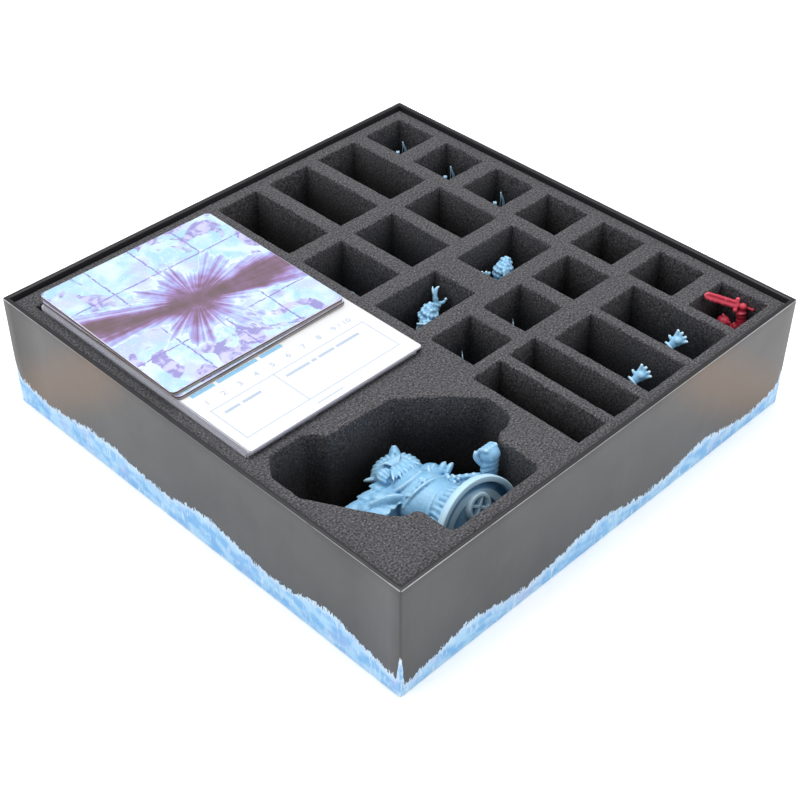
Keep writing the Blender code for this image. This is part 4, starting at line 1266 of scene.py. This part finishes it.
SMALL = {"knight": knight, "archer_1": archer, "archer_2": archer, "archer_3": archer,
         "prowler_1": prowler, "prowler_2": prowler, "clawed": clawed, "shaggy": shaggy,
         "spearman_1": spearman, "spearman_2": spearman, "grasper_1": grasper, "grasper_2": grasper}
FIGURE_VOXEL = 0.42       # the finest detail that the mould holds, in millimetres
GLUE_DEPTH = 0.0002
for number, (name, shape) in enumerate(SMALL.items()):
    mat, slot = (red_plastic, "red_plastic") if name == "knight" else (ice_plastic, "ice_plastic")
    low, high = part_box(f"{name}_base")
    bm = bmesh.new()
    shape(bm)
    melt(f"{name}_moulding", bm, FIGURE_VOXEL, Matrix.Translation(
        ((low[0] + high[0]) / 2, (low[1] + high[1]) / 2, high[2] - GLUE_DEPTH)),
        mat, name, f"{name}_figure")
    round_base(name, mat, number)


# ---- Large figure --------------------------------------------------------------------------
# A shaggy beast on a 50 mm base, moulded hollow underneath. It lies on its back in its own
# pocket, with the base on edge across the pocket's near end.
low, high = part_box("beast_base")
LEAN = math.radians(17.0)
BEAST_RADIUS = (high[0] - low[0]) / 2
BASE_HEIGHT = 0.0038
BEAST_VOXEL = 0.46
# The same painted fold shade and highlight as the small figures, with deeper carving.
carved_plastic = plastic("carved_plastic", *ICE_BLUE_SHADE_BODY_HIGHLIGHT, carving=14.0)
stand = Vector(((low[0] + high[0]) / 2,
                low[1] + BEAST_RADIUS * math.sin(LEAN),
                low[2] + BEAST_RADIUS * math.cos(LEAN) + BASE_HEIGHT * math.sin(LEAN)))
laid = Matrix.Translation(stand) @ Matrix.Rotation(-math.pi / 2 - LEAN, 4, "X")

bm = bmesh.new()
# trunk, chest and the coat whose folds spread to the base
strand(bm, [(-0.9, -4.4, 9.2), (-0.9, -4.5, 10.6), (-2.0, -6.0, 14), (-4.0, -9.0, 25),
            (-2.0, -10.5, 36)], [12.6, 12.8, 12.2, 13.4, 11.0], sides=40)
for k in range(30):
    angle = 2 * math.pi * k / 30
    out = Vector((math.cos(angle), math.sin(angle), 0))
    strand(bm, [(-2.4 + out.x * 10.6, -6.4 + out.y * 10.4, 17.0),
                (-1.8 + out.x * 12.2, -5.2 + out.y * 11.9, 10.5 + 0.8 * math.sin(3 * angle)),
                (-0.6 + out.x * 16.0, -3.5 + out.y * 13.6, 2.8)], [1.0, 1.15, 1.05], sides=7)
# belt low on the hips, the round collar and the small buckles on the chest
strap(bm, (-2.6, -6.4, 15.4), (12.7, 12.4), (0.7, 1.1), (6, -12, 0), 36)
strand(bm, [(-15.0, -13.5, 38.0), (-14.8, -16.6, 33.0), (-12.6, -19.8, 28.2), (-7.4, -22.2, 25.2),
            (-0.8, -21.8, 26.6)], [1.0, 1.0, 1.0, 1.0, 1.0], sides=8)
strand(bm, [(-16.4, -13.5, 24.0), (-11.6, -19.6, 20.0), (-4.0, -21.4, 18.4), (4.0, -18.6, 20.0)],
       [0.7, 0.8, 0.8, 0.7], sides=7)
for k in range(4):
    block(bm, (-13.4 + 2.7 * k, -18.6 - 1.1 * k, 22.6 - 0.7 * k), (1.7, 1.3, 2.3), (0, -20, -34 + 8 * k))
# hooded head: a wide woolly dome, its pointed crown, an ear and a rounded muzzle
lump(bm, (2.6, -13.0, 47.6), (11.4, 8.6, 8.8), (0, 45, 0))
lump(bm, (-2.8, -14.6, 46.6), (6.6, 6.4, 6.8))
strand(bm, [(4.6, -16.5, 49.6), (7.0, -20.4, 51.8), (8.0, -22.4, 52.6)], [4.2, 2.7, 1.5], sides=10)
strand(bm, [(-6.0, -14.0, 50.6), (-9.4, -14.6, 54.0), (-10.6, -14.2, 55.4)], [3.2, 1.8, 0.5], flat=0.6)
front = Vector((-0.45, -0.72, -0.53)).normalized()
aside = front.cross(Vector((0, 0, 1))).normalized()
hood = Matrix.Rotation(math.radians(45), 3, "Y") @ Matrix.Diagonal((11.4, 8.6, 8.8)) @ Matrix.Rotation(
    math.radians(-45), 3, "Y")
for k in range(26):
    turn = 2 * math.pi * k / 26
    outward = aside * math.cos(turn) + front.cross(aside) * math.sin(turn)
    ridge = [Vector((2.6, -13.0, 47.6)) + hood @ (front * math.cos(a) + outward * math.sin(a))
             for a in (0.80, 1.05, 1.35, 1.75)]
    strand(bm, ridge, [1.0, 1.15, 1.0, 0.6], sides=6)
lump(bm, (-9.4, -19.4, 41.2), (3.5, 3.7, 3.9))
for k in range(5):
    turn = math.radians(-64 + 32 * k)
    strand(bm, [(-9.4 + 1.4 * math.sin(turn), -22.6, 43.4),
                (-9.6 + 3.5 * math.sin(turn), -20.2 - 3.2 * math.cos(turn), 40.6),
                (-9.6 + 2.7 * math.sin(turn), -19.0 - 2.6 * math.cos(turn), 37.6)],
           [0.75, 0.95, 0.6], sides=6)
# a combed fringe that fans out beneath the hood, and shorter locks above its parting
parting = Vector((-2.8, -22.6, 40.8))
near_lock, far_lock = Vector((6.4, 1.4, -8.2)), Vector((-7.2, 0.4, -8.6))
lump(bm, (-2.4, -18.6, 38.0), (4.4, 2.6, 4.4), (0, 45, 0))
for k in range(9):
    share = k / 8
    aim = near_lock.lerp(far_lock, share) * (1.04 + 0.16 * math.sin(math.pi * share) - 0.10 * (k % 2))
    start = parting + Vector((1.2 - 2.4 * share, 0.6, 0.6))
    strand(bm, [start, start + aim * 0.45 + Vector((0, -1.5 - 0.5 * (k % 2), 0)),
                start + aim * 0.8 + Vector((0, -1.1, 0)), start + aim], [0.5, 0.95, 0.8, 0.22], sides=7)
for k in range(7):
    share = k / 6
    start = parting + Vector((3.4 - 3.6 * share, 0.8, 1.2 + 0.6 * share))
    strand(bm, [start, start + Vector((2.6 - 3.6 * share, -1.1, 2.2 + 0.6 * share)),
                start + Vector((5.0 - 7.6 * share, 0.6, 4.2 + 1.0 * share))], [0.45, 0.8, 0.22], sides=7)
# its left shoulder and arm: a thick sleeve under broad ragged leaves of hide
strand(bm, [(-8.0, -10.5, 34), (-18.0, -10.5, 34.5), (-25.5, -10.0, 33.0), (-29.5, -12.0, 27.0)],
       [8.2, 7.0, 6.0, 5.0], sides=12)
for row in range(3):
    for k in range(5):
        root = Vector((-12.4 - 3.6 * k - 1.4 * (row % 2), -16.2 + 0.4 * k, 37.0 - 5.4 * row))
        aim = Vector((-0.30 - 0.06 * k, -0.16 + 0.20 * ((k + row) % 2), 1.0)).normalized()
        reach = 8.6 + 1.4 * ((k + row) % 2)
        strand(bm, [root, root + aim * reach * 0.55 + Vector((0, -0.9, 0)), root + aim * reach],
               [2.2, 2.7, 1.1], sides=10, flat=0.36, broad=(1.0, 0.12 * (k % 3 - 1), 0.3))
strand(bm, [(-15.0, -17.4, 25.6), (-20.0, -18.6, 27.6), (-25.0, -16.8, 32.6), (-27.6, -14.4, 37.6)],
       [1.6, 2.4, 2.2, 1.0], sides=10, flat=0.45, broad=(0.4, -1.0, 0.0))
lump(bm, (-30.0, -13.5, 22.6), (4.6, 4.4, 4.8))
# its right shoulder: stacked leaves and knots of hide
lump(bm, (9.6, -11.6, 34.0), (6.6, 6.0, 6.4))
for x, z, lean, thick in ((6.6, 34.6, 0.10, 2.2), (9.6, 32.0, 0.35, 2.4), (12.4, 29.4, 0.60, 2.4),
                          (13.4, 26.4, 0.80, 2.0)):
    root = Vector((x, -13.8, z))
    strand(bm, [root, root + Vector((1.2 + 1.2 * lean, -1.5, 1.0 - 1.2 * lean)),
                root + Vector((2.4 + 1.8 * lean, -1.7, 1.8 - 1.6 * lean))],
           [thick * 1.15, thick * 1.1, thick * 0.7], sides=9, flat=0.65)
strand(bm, [(2.4, -18.6, 24.4), (4.4, -20.2, 26.6), (6.6, -20.0, 29.6)], [1.5, 1.4, 0.7], flat=0.6)
for x, y, z, size in ((4.6, -15.4, 22.4, 3.0), (8.4, -13.6, 20.2, 3.2), (4.2, -15.2, 18.4, 2.2),
                      (9.4, -12.4, 24.2, 3.4), (7.2, -13.0, 16.6, 2.0), (12.2, -10.6, 21.6, 2.9)):
    lump(bm, (x, y, z), (size, size * 0.8, size * 0.9), (0, 30, 20))
curls(bm, (7.6, -12.6, 20.4), (5.0, 3.8, 4.2), 4, 12, 0.95, (0, 20, 0))
# its right arm, held up: woolly elbow, a banded cuff and a closed fist
strand(bm, [(8.0, -8.5, 29), (13.0, -8.0, 24.5), (18.5, -8.0, 19.0), (21.0, -9.5, 11.5)],
       [6.0, 4.2, 3.9, 3.8], sides=12)
for k in range(9):
    share = k / 8
    lump(bm, (12.0 + 8.4 * share, -11.6 - 0.5 * (k % 2), 24.4 - 9.4 * share), (1.35, 1.2, 1.35))
fist = Vector((0.7, 0.0, -1.2))
strand(bm, [Vector(p) + fist for p in ((21.0, -9.5, 11.0), (21.0, -15.0, 9.6), (21.0, -22.0, 7.4))],
       [3.9, 3.6, 3.8], sides=14)
for k in range(3):
    strap(bm, Vector((21.0, -14.4 - 2.9 * k, 9.8 - 0.95 * k)) + fist, (3.95, 3.95), (0.55, 0.95),
          (72, 0, 0), 22)
lump(bm, Vector((21.0, -24.6, 6.7)) + fist, (4.5, 4.2, 4.3), (-17, 0, 0))
block(bm, Vector((21.0, -25.2, 6.5)) + fist, (6.2, 5.2, 5.8), (-17, 0, 0))
for k in range(4):
    knuckle = Vector((18.1 + 1.9 * k, -27.0, 9.2)) + fist
    strand(bm, [knuckle + Vector((0, 4.2, 0.6)), knuckle, knuckle + Vector((0, -1.0, -4.0))],
           [1.1, 1.2, 1.05], sides=8)
strand(bm, [Vector(p) + fist for p in ((18.2, -20.4, 9.8), (16.6, -23.8, 10.8), (16.8, -26.4, 10.6))],
       [1.7, 1.5, 1.15], sides=8)
# cloak at its back
for k in range(13):
    share = k / 12 - 0.5
    strand(bm, [(-3.0 + 15.0 * share, -4.0, 39.0), (-2.5 + 21.0 * share, 2.0 - 8.0 * abs(share), 27.0),
                (-2.0 + 27.0 * share, 5.0 - 11.0 * abs(share), 8.0)], [2.6, 2.4, 1.4], sides=7)
melt("beast_moulding", bm, BEAST_VOXEL, laid @ Matrix.Translation((0, 0, BASE_HEIGHT)),
     carved_plastic, "beast", "beast_figure")

# its base: a smooth rim, and a ring, a boss and a cross brace in the hollow below
hollow = [(0.0004, 0.0031), (0.0112, 0.0031), (0.0150, 0.0030), (0.0154, 0.0022), (0.0186, 0.0021),
          (0.0190, 0.0031), (BEAST_RADIUS - 0.0042, 0.0031), (BEAST_RADIUS - 0.0031, 0.0026),
          (BEAST_RADIUS - 0.0028, 0.0002), (BEAST_RADIUS - 0.0024, 0.0), (BEAST_RADIUS - 0.0005, 0.0),
          (BEAST_RADIUS, 0.0005), (BEAST_RADIUS, 0.0028), (BEAST_RADIUS - 0.0003, 0.0035),
          (BEAST_RADIUS - 0.0010, BASE_HEIGHT), (BEAST_RADIUS * 0.8, BASE_HEIGHT),
          (BEAST_RADIUS * 0.5, BASE_HEIGHT), (BEAST_RADIUS * 0.2, BASE_HEIGHT)]
rings = [[tuple(laid @ Vector((r * math.cos(a), r * math.sin(a), z)))
          for a in (2 * math.pi * k / 96 for k in range(96))] for r, z in hollow]
beast_base = skin("beast_round_base", rings, [ice_plastic], "beast")
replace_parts(beast_base, "beast_base")
bm = bmesh.new()
boss = laid @ Matrix.Translation((0.0030, -0.0108, 0.0))
section = [(0.0048, 0.0029), (0.0048, 0.0008), (0.0051, 0.0005), (0.0062, 0.0005), (0.0066, 0.0009),
           (0.0070, 0.0029)]
turns = [[bm.verts.new(boss @ Vector((r * math.cos(a), r * math.sin(a), z))) for r, z in section]
         for a in (2 * math.pi * k / 48 for k in range(48))]
bridge(bm, turns + turns[:1])
piece("beast_base_boss", bm, [ice_plastic], "beast")
bm = bmesh.new()
for turn in (35, 125):
    bmesh.ops.create_cube(bm, size=1.0, matrix=boss @ Matrix.Rotation(math.radians(turn), 4, "Z")
                          @ Matrix.Translation((0, 0, 0.0019))
                          @ Matrix.Diagonal((0.0098, 0.0013, 0.0022, 1.0)))
bmesh.ops.bevel(bm, geom=bm.edges[:], offset=0.0002, segments=2, affect="EDGES")
piece("beast_base_brace", bm, [ice_plastic], "beast")


# ---- Studio --------------------------------------------------------------------------------
# A pale floor just below the box, lit softly by three large panels and an even sky. The camera
# looks down from above the near corner.
floor_finish, at = new_finish("studio_floor")
settle(floor_finish, {
    "Base Color": grain(at, 8.0, 2.0).mix((0.93, 0.93, 0.93), (0.95, 0.95, 0.95)),
    "Roughness": 0.9,
    "Emission Color": (1.0, 1.0, 1.0, 1.0),
    "Emission Strength": 0.30,
})
bm = bmesh.new()
bmesh.ops.create_grid(bm, x_segments=2, y_segments=2, size=6.0)
bmesh.ops.translate(bm, verts=bm.verts, vec=(0, 0, -0.0002))
floor_mesh = bpy.data.meshes.new("studio_floor")
bm.to_mesh(floor_mesh)
bm.free()
floor_mesh.materials.append(floor_finish)
link("studio_floor", floor_mesh)

world = bpy.data.worlds.new("studio")
bpy.context.scene.world = world
world.use_nodes = True
sky = world.node_tree.nodes["Background"]
sky.inputs["Color"].default_value = (0.97, 0.985, 1.0, 1.0)
sky.inputs["Strength"].default_value = 0.50


PANEL_WIDTH = 0.9
for name, place, aim, watts in (("overhead_panel", (0.10, 0.20, 1.5), (0, 0, 0), 19.0),
                                ("left_panel", (-1.4, 0.5, 0.9), (0, 0, 0.03), 7.0),
                                ("right_panel", (0.5, -1.4, 0.9), (0, 0, 0.03), 6.0)):
    lamp = bpy.data.lights.new(name, "AREA")
    lamp.shape = "RECTANGLE"
    lamp.size = lamp.size_y = PANEL_WIDTH
    lamp.energy = watts
    obj = link(name, lamp)
    obj.location = place
    obj.rotation_euler = (Vector(aim) - Vector(place)).to_track_quat("-Z", "Y").to_euler()

camera = bpy.data.cameras.new("camera")
camera.lens = 69.4
camera.sensor_width = 36.0
camera.clip_start = 0.01
viewer = link("camera", camera)
right = Vector((0.70603, -0.70817, 0.00362))
up = Vector((0.45289, 0.45544, 0.76646))
back = Vector((-0.54444, -0.53950, 0.64228))
viewer.matrix_world = Matrix.Translation((-0.4202, -0.4167, 0.4961)) @ Matrix(
    (right, up, back)).transposed().to_4x4()
bpy.context.scene.camera = viewer
bpy.context.scene.view_settings.view_transform = "Standard"
